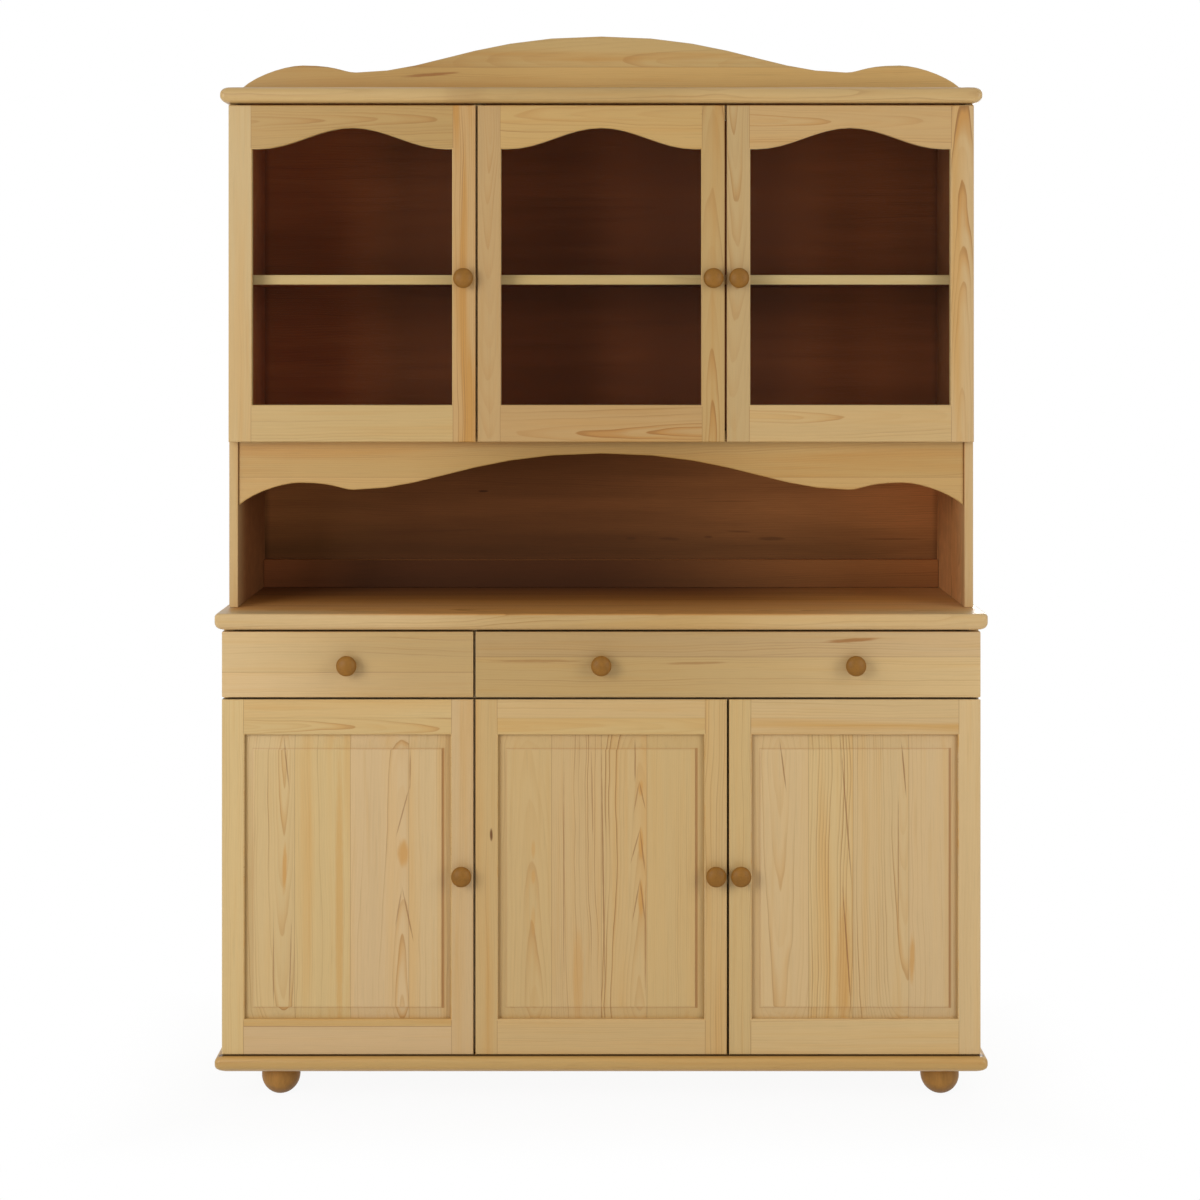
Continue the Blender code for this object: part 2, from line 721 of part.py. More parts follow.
def build_carcass(pine):
    bottom, top = FLOOR_Z + FIT, WORKTOP_Z - FIT
    hutch_foot, hutch_head = WORKTOP_TOP + FIT, TOP_BOARD_Z - FIT
    base_lap = lap_depth(BASE_SIDE_DEPTH)
    hutch_lap = lap_depth(HUTCH_SIDE_DEPTH)
    base_shelf_front = BASE_SIDE_DEPTH - SHELF_SETBACK
    hutch_shelf_front = HUTCH_SIDE_DEPTH - SHELF_SETBACK
    base_shelves = [(DRAWER_BOARD_Z, BASE_SIDE_DEPTH), (BASE_SHELF_Z, base_shelf_front)]
    hutch_shelves = [(HUTCH_BOTTOM_Z, HUTCH_SIDE_DEPTH), (HUTCH_SHELF_Z, hutch_shelf_front)]

    base_board = nosed_board(
        "base_board", WORKTOP_DEPTH, FOOT_HEIGHT, BASE_BOARD_THICK,
        BASE_BOARD_LOW_ROUND, BASE_BOARD_TOP_ROUND,
    )
    place("base_board", combined(base_board, dowel_bores()), pine)
    foot = foot_mesh()
    for name, spot in foot_places().items():
        place(name, foot, pine, at=spot)
    for word, side in (("left", -1), ("right", 1)):
        name = "base_side_" + word
        end = side_board(name, side, BASE_HALF, BASE_INNER, BASE_SIDE_DEPTH, (bottom, top), base_shelves)
        place(name, end, pine)
        name = "hutch_side_" + word
        z = (hutch_foot, hutch_head)
        end = side_board(name, side, HUTCH_HALF, HUTCH_INNER, HUTCH_SIDE_DEPTH, z, hutch_shelves)
        place(name, end, pine)
    divider = partition(
        "base_partition", BASE_PARTITION_X, BASE_SIDE_DEPTH, (bottom, top),
        (DRAWER_BOARD_Z, BASE_SHELF_Z), base_lap,
    )
    place("base_partition", divider, pine)
    for name, (level, front) in zip(("drawer_board", "base_shelf"), base_shelves):
        place(name, shelf_board(name, BASE_INNER, level, front, BASE_PARTITION_X, base_lap), pine)
    place("base_back", back_panel("base_back", BASE_INNER, (bottom, top)), pine)
    worktop = nosed_board(
        "worktop", WORKTOP_DEPTH, WORKTOP_Z, WORKTOP_THICK, WORKTOP_LOW_ROUND, WORKTOP_TOP_ROUND
    )
    place("worktop", worktop, pine)

    floor_board = shelf_board("hutch_bottom", HUTCH_INNER, *hutch_shelves[0])
    place("hutch_bottom", floor_board, pine)
    shelf = shelf_board("hutch_shelf", HUTCH_INNER, *hutch_shelves[1], HUTCH_PARTITION_X, hutch_lap)
    place("hutch_shelf", shelf, pine)
    divider = partition(
        "hutch_partition", HUTCH_PARTITION_X, HUTCH_SIDE_DEPTH, (HUTCH_FLOOR_Z + FIT, hutch_head),
        (HUTCH_SHELF_Z,), hutch_lap,
    )
    place("hutch_partition", divider, pine)
    place("hutch_back", back_panel("hutch_back", HUTCH_INNER, (hutch_foot, hutch_head)), pine)
    rail_z = (hutch_foot, hutch_foot + BACK_RAIL_HEIGHT)
    rail_x = grown((-HUTCH_INNER, HUTCH_INNER), -FIT)
    rail = box("hutch_back_rail", rail_x, (INSIDE_BACK, INSIDE_BACK + BACK_RAIL_THICK), rail_z)
    place("hutch_back_rail", eased(rail), pine)
    top_board = nosed_board(
        "top_board", TOP_BOARD_DEPTH, TOP_BOARD_Z, TOP_BOARD_THICK, TOP_BOARD_ROUND, TOP_BOARD_ROUND
    )
    place("top_board", top_board, pine)
    place("crest", crest_mesh(), pine)
    place("valance", valance_mesh(), pine)


def build_drawers(pine, knob_wood, knob):
    front_y = y_at(BASE_DOOR_FRONT)
    front = (BASE_DOOR_FRONT - DOOR_THICK, BASE_DOOR_FRONT)
    front_z = (DRAWER_FRONT_Z, DRAWER_FRONT_Z + DRAWER_FRONT_HEIGHT)
    box_z = (DRAWER_FLOOR_Z + FIT, WORKTOP_Z - DRAWER_HEADROOM)
    split = grown((BASE_PARTITION_X, BASE_PARTITION_X), DOOR_GAP / 2)
    wall = grown((BASE_PARTITION_X, BASE_PARTITION_X), PARTITION_THICK / 2)
    door_middles = [BASE_PARTITION_X + (BASE_DOOR_WIDTH + DOOR_GAP) * share for share in (-0.5, 0.5, 1.5)]
    right_knobs = {"_left": door_middles[1], "_right": door_middles[2]}
    drawers = {
        "left": ((-BASE_HALF, split[0]), (-BASE_INNER, wall[0]), {"": door_middles[0]}),
        "right": ((split[1], BASE_HALF), (wall[1], BASE_INNER), right_knobs),
    }
    for word, (front_x, bay, knobs) in drawers.items():
        body = "drawer_" + word
        carrier = pivot(body, ((front_x[0] + front_x[1]) / 2, front_y, (front_z[0] + front_z[1]) / 2))
        face = eased(box(body + "_front", front_x, front, front_z))
        tray = drawer_box(body + "_box", grown(bay, -DRAWER_PLAY), box_z, front[0] - FIT)
        for name, mesh in ((body + "_front", face), (body + "_box", tray)):
            place(name, mesh, pine, carrier)
        for side, x in knobs.items():
            spot = (x, front_y - FIT, carrier.location.z)
            place(body + "_knob" + side, knob, knob_wood, carrier, spot)


def door_spans(half, inner, width):
    """(name, (left, right), hinged edge, direction from that edge, cover of the board that carries it)."""
    lefts = [-half + i * (width + DOOR_GAP) for i in range(DOORS_ACROSS)]
    side_cover = half - inner
    partition_cover = (PARTITION_THICK - DOOR_GAP) / 2
    return [
        ("left", (lefts[0], lefts[0] + width), lefts[0], 1, side_cover),
        ("centre", (lefts[1], lefts[1] + width), lefts[1], 1, partition_cover),
        ("right", (lefts[2], lefts[2] + width), lefts[2] + width, -1, side_cover),
    ]


def build_doors(kind, spans, width, z, front, stile, knob_z, make_frame, infill, finishes, knob):
    """The three doors of the base or of the hutch, each on a pivot at its hinged front edge."""
    pine, infill_finish, knob_wood, steel = finishes
    infill_name, make_infill = infill
    covers = {span[-1] for span in spans}
    hinges = {cover: hinge_mesh(kind + "_hinge", cover) for cover in sorted(covers)}
    for word, x, hinge_x, toward, cover in spans:
        body = kind + "_door_" + word
        carrier = pivot(body, (hinge_x, front, (z[0] + z[1]) / 2))
        bores = cup_bores(hinge_x, toward, z, front + DOOR_THICK)
        place(body + "_frame", combined(make_frame(body, x, z, front), bores), pine, carrier)
        place(body + "_" + infill_name, make_infill(body, x, z, front), infill_finish, carrier)
        knob_x = hinge_x + toward * (width - stile / 2)
        place(body + "_knob", knob, knob_wood, carrier, (knob_x, front - FIT, knob_z))
        turn = (0, 0, 0) if toward > 0 else (0, math.pi, 0)
        for end, height in zip(("lower", "upper"), hinge_heights(z)):
            name = "{}_hinge_{}_{}".format(kind, word, end)
            place(name, hinges[cover], steel, at=(hinge_x, front, height), turn=turn)


def main():
    for old in list(bpy.data.objects):
        bpy.data.objects.remove(old)
    pine = finish("lacquered_pine", (0.52, 0.34, 0.15), 0.42)
    knob_wood = finish("turned_knob_wood", (0.27, 0.13, 0.035), 0.40)
    glass = finish("window_glass", (0.92, 0.95, 0.93), 0.03, transmission=1.0)
    steel = finish("hinge_steel", (0.62, 0.62, 0.60), 0.32, metallic=1.0)
    knob = knob_mesh()
    build_carcass(pine)
    build_drawers(pine, knob_wood, knob)
    build_doors(
        "base", door_spans(BASE_HALF, BASE_INNER, BASE_DOOR_WIDTH), BASE_DOOR_WIDTH,
        (PANEL_DOOR_Z, PANEL_DOOR_Z + BASE_DOOR_HEIGHT), y_at(BASE_DOOR_FRONT),
        PANEL_STILE, PANEL_DOOR_Z + PANEL_KNOB_HEIGHT,
        panel_frame, ("panel", fielded_panel), (pine, pine, knob_wood, steel), knob,
    )
    build_doors(
        "hutch", door_spans(GLAZED_HALF, HUTCH_INNER, GLAZED_DOOR_WIDTH), GLAZED_DOOR_WIDTH,
        (GLAZED_DOOR_Z, GLAZED_DOOR_Z + GLAZED_DOOR_HEIGHT), y_at(GLAZED_DOOR_FRONT),
        GLAZED_STILE, GLAZED_DOOR_Z + GLAZED_KNOB_HEIGHT,
        glazed_frame, ("pane", pane_mesh), (pine, glass, knob_wood, steel), knob,
    )


main()
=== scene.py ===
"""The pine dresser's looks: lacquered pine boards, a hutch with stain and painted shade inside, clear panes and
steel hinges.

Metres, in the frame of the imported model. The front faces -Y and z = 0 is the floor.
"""

import json
import math
import random

import bmesh
import bpy
from mathutils import Matrix, Vector


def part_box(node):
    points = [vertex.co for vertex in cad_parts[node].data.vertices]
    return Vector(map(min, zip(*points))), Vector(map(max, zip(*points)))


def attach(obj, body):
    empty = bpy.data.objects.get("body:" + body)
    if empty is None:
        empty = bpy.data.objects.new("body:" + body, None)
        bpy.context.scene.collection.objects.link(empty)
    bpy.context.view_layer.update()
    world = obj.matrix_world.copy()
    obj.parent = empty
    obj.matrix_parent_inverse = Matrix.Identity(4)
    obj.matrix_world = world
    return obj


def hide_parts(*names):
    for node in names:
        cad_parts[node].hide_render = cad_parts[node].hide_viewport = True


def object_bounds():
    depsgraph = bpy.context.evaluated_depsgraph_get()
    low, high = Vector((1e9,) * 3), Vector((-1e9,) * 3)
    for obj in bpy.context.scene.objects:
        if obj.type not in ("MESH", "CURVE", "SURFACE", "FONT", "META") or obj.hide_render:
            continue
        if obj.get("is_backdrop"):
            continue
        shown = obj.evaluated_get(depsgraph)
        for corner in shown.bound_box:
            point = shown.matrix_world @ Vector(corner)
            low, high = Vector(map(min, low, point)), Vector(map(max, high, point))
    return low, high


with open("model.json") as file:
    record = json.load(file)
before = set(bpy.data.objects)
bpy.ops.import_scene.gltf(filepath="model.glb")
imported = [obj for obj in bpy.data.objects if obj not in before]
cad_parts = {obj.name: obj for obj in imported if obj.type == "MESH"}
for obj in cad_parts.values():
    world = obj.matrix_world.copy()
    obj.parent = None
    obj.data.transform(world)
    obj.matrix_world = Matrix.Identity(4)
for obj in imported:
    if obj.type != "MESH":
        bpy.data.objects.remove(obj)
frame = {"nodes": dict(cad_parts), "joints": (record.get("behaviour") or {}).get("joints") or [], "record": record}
CAD_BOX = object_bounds()
NODES = frame["nodes"]

# Camera: level, with the lens shifted down as the photograph's framing is
LENS = 64.95
SENSOR = 36.0
EYE = (-0.0022, -4.1125, 1.4117)
LENS_SHIFT = -0.229

# Studio: the floor turns white between two distances beside the dresser
FLOOR_REACH, FLOOR_SEGMENTS = 30.0, 8
FLOOR_WHITE = (0.02, 0.30)
FLOOR_LEAST_WHITE = 0.93
FLOOR_COLOUR = (0.82, 0.82, 0.82, 1.0)
WHITE = (1.0, 1.0, 1.0, 1.0)
AMBIENT = 0.40
KEY_PLACE, KEY_SIZE, KEY_POWER = (-2.3, -2.7, 1.72), (1.6, 1.9), 50
FILL_PLACE, FILL_SIZE, FILL_POWER = (2.3, -2.0, 1.55), (1.2, 1.9), 23
REAR_PLACE, REAR_SIZE, REAR_POWER = (0.6, 3.2, 1.9), (2.4, 1.6), 60
LIGHT_AIM = (0.0, -0.15, 1.05)

# Pine, as linear colours
SPRING_YELLOW = (0.668, 0.476, 0.206)
SPRING_PINK = (0.664, 0.464, 0.238)
FLAME = (0.590, 0.300, 0.070)
SUMMER_WOOD = (0.500, 0.268, 0.074)
# Heart wood, resin and amber below also paint the shade and half-shade round the base doors' fields
HEART_WOOD_AND_HALF_SHADE = (0.610, 0.352, 0.104)
RING_LINE = (0.300, 0.142, 0.040)
RESIN_AND_RECESS_SHADE = (0.270, 0.105, 0.022)
AMBER_AND_EDGE_SHADE = (0.380, 0.160, 0.030)
# A dark brown for painted shade and for pin heads
SHADE_AND_PIN_BROWN = (0.060, 0.022, 0.004)
BARK = (0.150, 0.052, 0.001)
# A deeper honey tone, partly painted shade, and a tint of painted shade
HONEY_AND_SHADE_TINT = (0.84, 0.73, 0.55)
SHADE_TINT = (0.75, 0.70, 0.57)
KNOB_WOOD = (0.280, 0.122, 0.016)
FOOT_WOOD = (0.415, 0.204, 0.047)
# Stain inside the hutch in shaded and lit copies: dark where the niche and cupboards get painted shade, pale where
# they get painted light
STAIN_IN_SHADE = (0.200, 0.072, 0.022)
STAIN_IN_LIGHT = (0.550, 0.228, 0.073)
RAIL_STAIN_IN_SHADE = (0.076, 0.025, 0.008)
RAIL_STAIN_IN_LIGHT = (0.400, 0.155, 0.045)
CUPBOARD_STAIN_IN_SHADE = (0.218, 0.055, 0.017)
CUPBOARD_STAIN_IN_LIGHT = (0.385, 0.106, 0.033)
# The worktop's amber front, and its stain in painted shade under the hutch
WORKTOP_FRONT_AMBER = (0.680, 0.275, 0.048)
WORKTOP_STAIN_IN_SHADE = (0.170, 0.052, 0.015)
PORE_DARK = (0.060, 0.024, 0.010)

# Stain in the niche, with painted light and shade: from and to a place, and by how much. Where a tone has
# two numbers, they are its least and what it gains, and so it is with a light, a sheen and a strength below
NICHE_LEFT_END, NICHE_RIGHT_END, NICHE_BACK_END = (-0.75, -0.36), (-0.1, 0.8), (0.4, 0.65)
BACK_LEFT_LIGHT, WALL_LEFT_LIGHT, NICHE_END_LIGHT = 0.8, 0.12, 0.25
NICHE_BACK_FOOT, NICHE_FOOT_SHADE = (0.95, 1.07), (0.47, 0.52)
# Painted shade in the corners of the hutch's back
CORNER_FADE, CORNER_SHADE = 0.013, 0.32
# The niche's rail: painted light at its left end, painted shade left of its middle and towards its foot, and a
# painted highlight on its upper arris
RAIL_LEFT_END, RAIL_RIGHT_END, RAIL_LEFT_LIGHT = (-0.70, -0.45), (-0.05, 0.80), 4.1
RAIL_MARGIN, RAIL_FOOT_SHADE, RAIL_ARRIS, RAIL_ARRIS_HIGHLIGHT = 0.005, (0.83, 0.22), (0.3, 0.8), 0.6

# Stain in the three cupboards, with painted shade that evens out the light through each window: its tone at
# the left, then from and to an x, and the change there
BAY_START = 1.3
BAY_SHADE_CHANGES = (
    (-0.54, -0.38, -0.70), (-0.30, -0.20, 0.53),
    (-0.02, 0.16, -0.46), (0.32, 0.46, 0.38), (0.52, 0.65, -0.32),
)
# Painted shade in the middle cupboard
BAY_MIDDLE = (0.12, 0.14, 0.42)
# Painted shade round the shelf
OVER_SHELF, OVER_SHELF_SHADE = (1.54, 0.04, 0.10), 0.16
CLOUD, CLOUD_TONE = (3, 30, 42), (0.75, 0.5)
STAIN_EDGE = 0.02

# Stain on the hutch's walls, which grows darker inward from the front edge as painted shade: its strength in
# the niche and in the cupboards. Then from and to a depth behind the front edge of a wall, past its inner face,
# and behind the front edge of a board
LEFT_WALL, RIGHT_WALL = (1.0, 0.97), (0.88, 0.93)
WALL_FRONT, WALL_ARRIS, BOARD_FRONT = (-0.09, 0.11), (0.0002, 0.0016), (0.0016, 0.012)

# Stain and painted shade on the worktop: darker under the hutch towards its back, and paler to the right
# and at its ends, as painted light
STAIN_BEFORE, STAIN_BEHIND, WORKTOP_ARRIS = 0.08, 0.02, (-0.004, -0.0005)
WORKTOP_PALE, WORKTOP_END, WORKTOP_BARE = (0.15, 0.65), (0.52, 0.70), (0.30, 0.65)
BARE_DEPTH, BACK_DEEP, WORKTOP_PALE_TONE = (0.012, 0.08), (0.92, -0.62), (0.88, 0.22)
WORKTOP_STRENGTH, MOST_STRENGTH, PALE_WEAKER, END_WEAKER = (0.66, 0.6), 0.97, 0.22, 0.4

# Hinge metal and window glass
STEEL_PALE = (0.60, 0.60, 0.58)
STEEL_DARK = (0.50, 0.50, 0.49)
STEEL_BRUSH, STEEL_ROUGHNESS, BRUSH_DEPTH = (300, 60, 2500), (0.22, 0.2), 0.00004
PANE_TINT = (0.94, 0.96, 0.95, 1.0)
PANE_SHEEN, GRAZING_POWER, PANE_ROUGHNESS = (0.0015, 0.5), 4, 0.02

# How boards are sawn from their logs
BOARD_WIDTH = 0.098
FIRST_BOARD, NEXT_BOARD, LEAST_BOARD = (0.45, 1.0), (0.9, 1.1), 0.25
FLAT_SAWN_SHARE = 0.5
HEART_BESIDE = 0.3
HEART_FAR = (0.10, 0.25)
HEART_NEAR = (0.008, 0.020)
HEART_LEAN = (0.035, 0.065)
RING_STEP = (0.0036, 0.0060)
RING_SHIFT, BOARD_WARMTH, BOARD_LIGHT = (0, 40), (0.1, 0.5), (0.97, 1.03)
BOARD_LINES = (0.4, 0.9)
FRAME_LINES = (0.12, 0.40)
RAIL_LIP = 0.029

# Noise in the grain: how fast it changes along and across it, its detail and its roughness
FIGURE = {
    "sway": (2.0, 5, 1.0, 0.5), "wobble": (7, 11, 1.0, 0.5), "ripple": (8, 32, 2.0, 0.5),
    "fade": (3, 20, 1.0, 0.5), "fibre": (26, 1150, 2.0, 0.6), "dash": (12, 380, 1.0, 0.5),
    "tone": (1.3, 30, 2.0, 0.5), "soft": (4, 120, 1.0, 0.5),
}
RING_SWAY = 0.028
RING_WOBBLE = 0.007
RING_RIPPLE = 0.0060
FADES, DASHES, WARM_PATCHES, SOFT_STREAKS = (0.30, 0.70), (0.60, 0.74), (0.46, 0.72), (0.52, 0.78)

# A year's ring, from 0 at its start to 1 at its end, and how much of it shows
SUMMER_COMES, LINE_COMES, RING_ENDS = (0.25, 0.90), (0.70, 0.90), (0.94, 1.0)
RING_RARITY, RING_GAIN, FADED_RING = 2.4, 1.2, 0.15
SUMMER_SHOWS, SUMMER_SHARE, LINE_SHARE, SOFT_SHARE = (0.05, 0.80), 0.75, 0.75, 0.22
FLAME_WIDTH, FLAME_GAIN, FLAME_MOST = (0.004, 0.020), 1.6, 0.85
FIBRE_LIGHT, TONE_LIGHT, DASH_SHADE, PLAIN_LIGHT = 0.12, 0.16, 0.05, 0.86
RAGGED_ALONG, RAGGED_ACROSS, RAGGED, STREAK_FADE = 45, 500, 0.9, (0.10, 1.0)

# Lacquer, and stain under it. Eased edges get a painted highlight
EASED, EASED_HIGHLIGHT = (0.78, 0.985), 0.06
LACQUER_GLOSS, LACQUER_SHINE, LACQUER_COAT, COAT_ROUGHNESS = 0.38, 0.45, 0.08, 0.28
FIBRE_DULLS, SUMMER_DULLS, GRAIN_DEPTH = 0.12, 0.05, 0.00022
STAIN_GLOSS, STAIN_DULLS, STAIN_SHINE, STAIN_COAT = 0.36, 0.4, 0.12, 0.06
PORE_GAIN, PORE_MOST, DYE_FIBRE = 1.3, 0.8, (0.85, 0.4)

# Lines between boards: half a line and its blur, then how dark the lines are
SEAM, WIDE_SEAM = (0.0002, 0.0006), (0.0004, 0.0006)
BOARD_SEAM, FRAME_SEAM, LIP_SEAM = 0.55, 0.6, 0.5

# Painted shade on the doors' upper edges and along their foot, and dark pin heads
SHADE_AND_PIN_DARK = 0.85
LOOKS_UP, UPPER_EDGE = (0.75, 0.95), 0.002
DOOR_FOOT_INSET, DOOR_FOOT_LINE = 0.0015, (0.0040, 0.0016)
SKIN = 0.001

# Field of the base doors' panels inside the frame's opening, and painted shade along its edges:
# half a line, its blur and its strength
FIELD_SIDE_MARGIN = 0.016
FIELD_TOP_MARGIN = 0.027
FIELD_BOTTOM_MARGIN = 0.022
FIELD_RIGHT_LINE, FIELD_LEFT_LINE = (0.0012, 0.0026, 0.75), (0.0003, 0.0008, 0.25)
FIELD_TOP_LINE, FIELD_FOOT_LINE = (0.0004, 0.0010, 0.40), (0.0004, 0.0010, 0.35)
FIELD_HALF_SHADE, FIELD_HALF_SHADE_INSET = (0.001, 0.006, 0.25), 0.006
RECESS_RIM, RECESS_RIM_SHADE = (0.0002, 0.0022), 0.70
BESIDE_STILE, BESIDE_STILE_SHADE, MARGIN_SHADE = (0.002, 0.020), 0.30, 0.25

# Turned work
TURN_STEPS = 56
ARC_STEPS = 10
KNOB_FOOT = 0.0105
KNOB_FOOT_REACH = 0.0012
KNOB_NECK = 0.0080
KNOB_NECK_REACH = 0.009
KNOB_RIM_REACH = 0.019
FOOT_BALL_CENTRE = 0.033
FOOT_DOWEL = 0.009
FOOT_CLEAR = 0.0003
TURNED_FIBRE, TURNED_CLOUD, TURNED_RINGS = (90, 420), 45, (12, 130)
TURNED_LIGHT = (0.35, 0.35, 0.3, 0.5)
TURNED_GLOSS, TURNED_SHINE, TURNED_RELIEF = 0.48, 0.25, 0.3
# Painted shade on the feet: darker towards the floor and on the side that faces right
LOW_SHADE, LOW_SHADE_LIGHT = (0.0, 0.030), (0.70, 0.42)
TURNED_AWAY, TURNED_AWAY_SHADE = (-0.4, 0.9), (1.06, -0.25)

# Hinge cups, screws and glazing beads
CUP_FROM_EDGE = 0.018
CUP_DEPTH = 0.01095
CUP_OUTSIDE = 0.0126
CUP_INSIDE = 0.0122
CUP_FLOOR = 0.00015
CUP_CLEAR, CUP_LIP = 0.0001, 0.0004
FLANGE_RADIUS = 0.0160
FLANGE_THICK = 0.0008
EAR_REACH = 0.0235
EAR_HALF = 0.0072
EAR_SCREW = 0.0196
SCREW_RADIUS = 0.0030
SCREW_HEIGHT = 0.0006
SCREW_STEPS = 16
SCREW_DOME = ((1, 0), (1, 0.4), (0.8, 0.9), (0.62, 1))
SCREW_RECESS, RECESS_WAIST, RECESS_FLOOR = ((0.55, 1), (0.45, 0.35)), 0.35, 0.25
PLATE_RISE = 0.0022
PLATE_FROM_DOOR_FRONT = 0.059
PLATE_SCREW = 0.0165
BEAD_WIDTH = 0.0082
BEAD_CLEAR = 0.0006
BEAD_FACE = 0.0012
BEAD_ROUND = 0.0022
BEAD_ROUND_MIDDLE = 0.3
BEAD_INSET, PANE_GAP, MITRE_GAP = 0.0002, 0.0001, 0.0001
BEAD_FIBRE, BEAD_TONE, BEAD_LIGHT = (30, 900), (4, 160), (0.88, 0.2)
BEAD_SUMMER, BEAD_SUMMER_SHARE = (0.45, 0.75), 0.5

# Drawer boxes
DRAWER_SIDE = 0.012

# Panel pins in the backs
PIN_STEP = 0.11
PIN_FROM_EDGE = 0.006
PIN_RADIUS = 0.0016
PIN_BLUR = 1.3

# A door frame's opening: how deep its front face is, the least stile, and slack at an edge
FACE_DEPTH, STILE_LEAST, EDGE_SLACK = 0.0005, 0.015, 0.001

AXES = {"x": 0, "y": 1, "z": 2}
SMOOTH_ANGLE = math.radians(40)
FLAT_FACE_WEIGHT = 100
WELD = 0.00002


# Shader expressions


def operator(operation, swapped=False):
    """A method that adds a Math node for an operator, whose terms may be swapped."""

    def apply(self, *others):
        terms = (*others, self) if swapped else (self, *others)
        return self.finish.node("Math", {"operation": operation}, dict(enumerate(terms)))

    return apply


class Wire:
    """A shader socket in a sum: each operator adds its Math node."""

    __add__, __radd__ = operator("ADD"), operator("ADD", True)
    __sub__, __rsub__ = operator("SUBTRACT"), operator("SUBTRACT", True)
    __mul__, __rmul__ = operator("MULTIPLY"), operator("MULTIPLY", True)
    __truediv__, __rtruediv__ = operator("DIVIDE"), operator("DIVIDE", True)
    __pow__, __rpow__ = operator("POWER"), operator("POWER", True)
    __gt__, __lt__ = operator("GREATER_THAN"), operator("LESS_THAN")
    __abs__, floor, root = operator("ABSOLUTE"), operator("FLOOR"), operator("SQRT")
    least, most = operator("MINIMUM"), operator("MAXIMUM")

    def __init__(self, finish, socket):
        self.finish = finish
        self.socket = socket

    def lift(self, least, more):
        """Least where this is 0, and more above that where it is 1."""
        return self * more + least

    def rise(self, low, high):
        """0 below low, 1 above high, and a smooth step between them."""
        ends = {"Value": self, "From Min": low, "From Max": high}
        return self.finish.node("MapRange", {"interpolation_type": "SMOOTHSTEP"}, ends)

    def near(self, place, half, blur):
        """1 within half of a place, and 0 beyond the blur round that."""
        return 1 - abs(self - place).rise(half, half + blur)


class Finish:
    """A material in the making. Each node comes from node(): its settings first, then its sockets."""

    def __init__(self, name):
        self.material = bpy.data.materials.new(name)
        self.material.use_nodes = True
        self.tree = self.material.node_tree
        self.tree.nodes.clear()

    def node(self, kind, settings=None, sockets=None, output=0):
        made = self.tree.nodes.new("ShaderNode" + kind)
        for key, value in (settings or {}).items():
            setattr(made, key, value)
        for key, value in (sockets or {}).items():
            if isinstance(value, Wire):
                self.tree.links.new(value.socket, made.inputs[key])
            else:
                made.inputs[key].default_value = value
        return Wire(self, made.outputs[output]) if made.outputs else None

    def parts(self, vector):
        """The x, y and z of a texture coordinate."""
        whole = self.node("TexCoord", output=vector)
        return [self.node("SeparateXYZ", sockets={0: whole}, output=i) for i in range(3)]

    def place(self):
        """The x, y and z of a point on the piece at rest."""
        return self.parts("Object")

    def facing(self):
        """The x, y and z of the piece's own normal."""
        return self.parts("Normal")

    def noise(self, x, y, z, detail=2.0, roughness=0.5):
        point = self.node("CombineXYZ", sockets={0: x, 1: y, 2: z})
        sockets = {"Vector": point, "Scale": 1.0, "Detail": detail, "Roughness": roughness}
        return self.node("TexNoise", {}, sockets)

    def chance(self, number):
        """A fixed random share for each whole number."""
        return self.node("TexWhiteNoise", {"noise_dimensions": "1D"}, {"W": number})

    def blend(self, low, high, share, how="MIX"):
        if how == "MIX" and not any(isinstance(term, Wire) for term in (low, high, share)):
            return tuple(a + (b - a) * share for a, b in zip(low, high))
        low = low if isinstance(low, Wire) else (*low, 1.0)
        high = high if isinstance(high, Wire) else (*high, 1.0)
        settings = {"data_type": "RGBA", "blend_type": how}
        return self.node("Mix", settings, {0: share, 6: low, 7: high}, output=2)

    def scaled(self, colour, value):
        return self.node("VectorMath", {"operation": "SCALE"}, {0: colour, "Scale": value})

    def bump(self, height, depth):
        return self.node("Bump", {}, {"Strength": 1.0, "Distance": depth, "Height": height})

    def surface(self, **sockets):
        named = {key.replace("_", " "): value for key, value in sockets.items()}
        shader = self.node("BsdfPrincipled", {}, named)
        self.output(shader)
        return self.material

    def output(self, shader):
        self.node("OutputMaterial", {}, {"Surface": shader})


# Pine boards


def sawn_board(lot, span, length, chosen, lines=BOARD_LINES):
    """How one board was sawn from its log, and its tone: drawn by lot, but for what is chosen.

    The log's heart lies behind a flat-sawn board, whose face then shows flames, and far beside a
    quarter-sawn one, whose rings show as straight lines. It leans away along the board.
    """
    flat = lot.random() < FLAT_SAWN_SHARE
    beside = lot.uniform(-HEART_BESIDE, HEART_BESIDE) * (span[1] - span[0])
    far = lot.choice((-1, 1)) * lot.uniform(*HEART_FAR)
    board = {
        "heart": (span[0] + span[1]) / 2 + (beside if flat else far),
        "near": lot.uniform(*HEART_NEAR),
        "lean": lot.choice((-1, 1)) * lot.uniform(*HEART_LEAN),
        "step": lot.uniform(*RING_STEP),
        "shift": lot.uniform(*RING_SHIFT),
        "pink": lot.random(),
        "warm": lot.uniform(*BOARD_WARMTH),
        "lines": lot.uniform(*lines),
        "light": lot.uniform(*BOARD_LIGHT),
        "honey_and_shade": 0.0,
    }
    board.update(chosen)
    board["near"] += abs(board["lean"]) * length / 2
    return board


def strip_masks(across, edges):
    """A mask for each board of a glued-up panel, from the edges between them."""
    gates = [across > edge for edge in edges]
    return [start - end for start, end in zip([1] + gates, gates + [0])]


def joined(masks, boards):
    """The boards' values at each point of a piece, where each board has its mask."""
    values = {}
    for key in boards[0]:
        terms = [mask * board[key] for mask, board in zip(masks, boards)]
        values[key] = terms[0]
        for term in terms[1:]:
            values[key] = values[key] + term
    return values


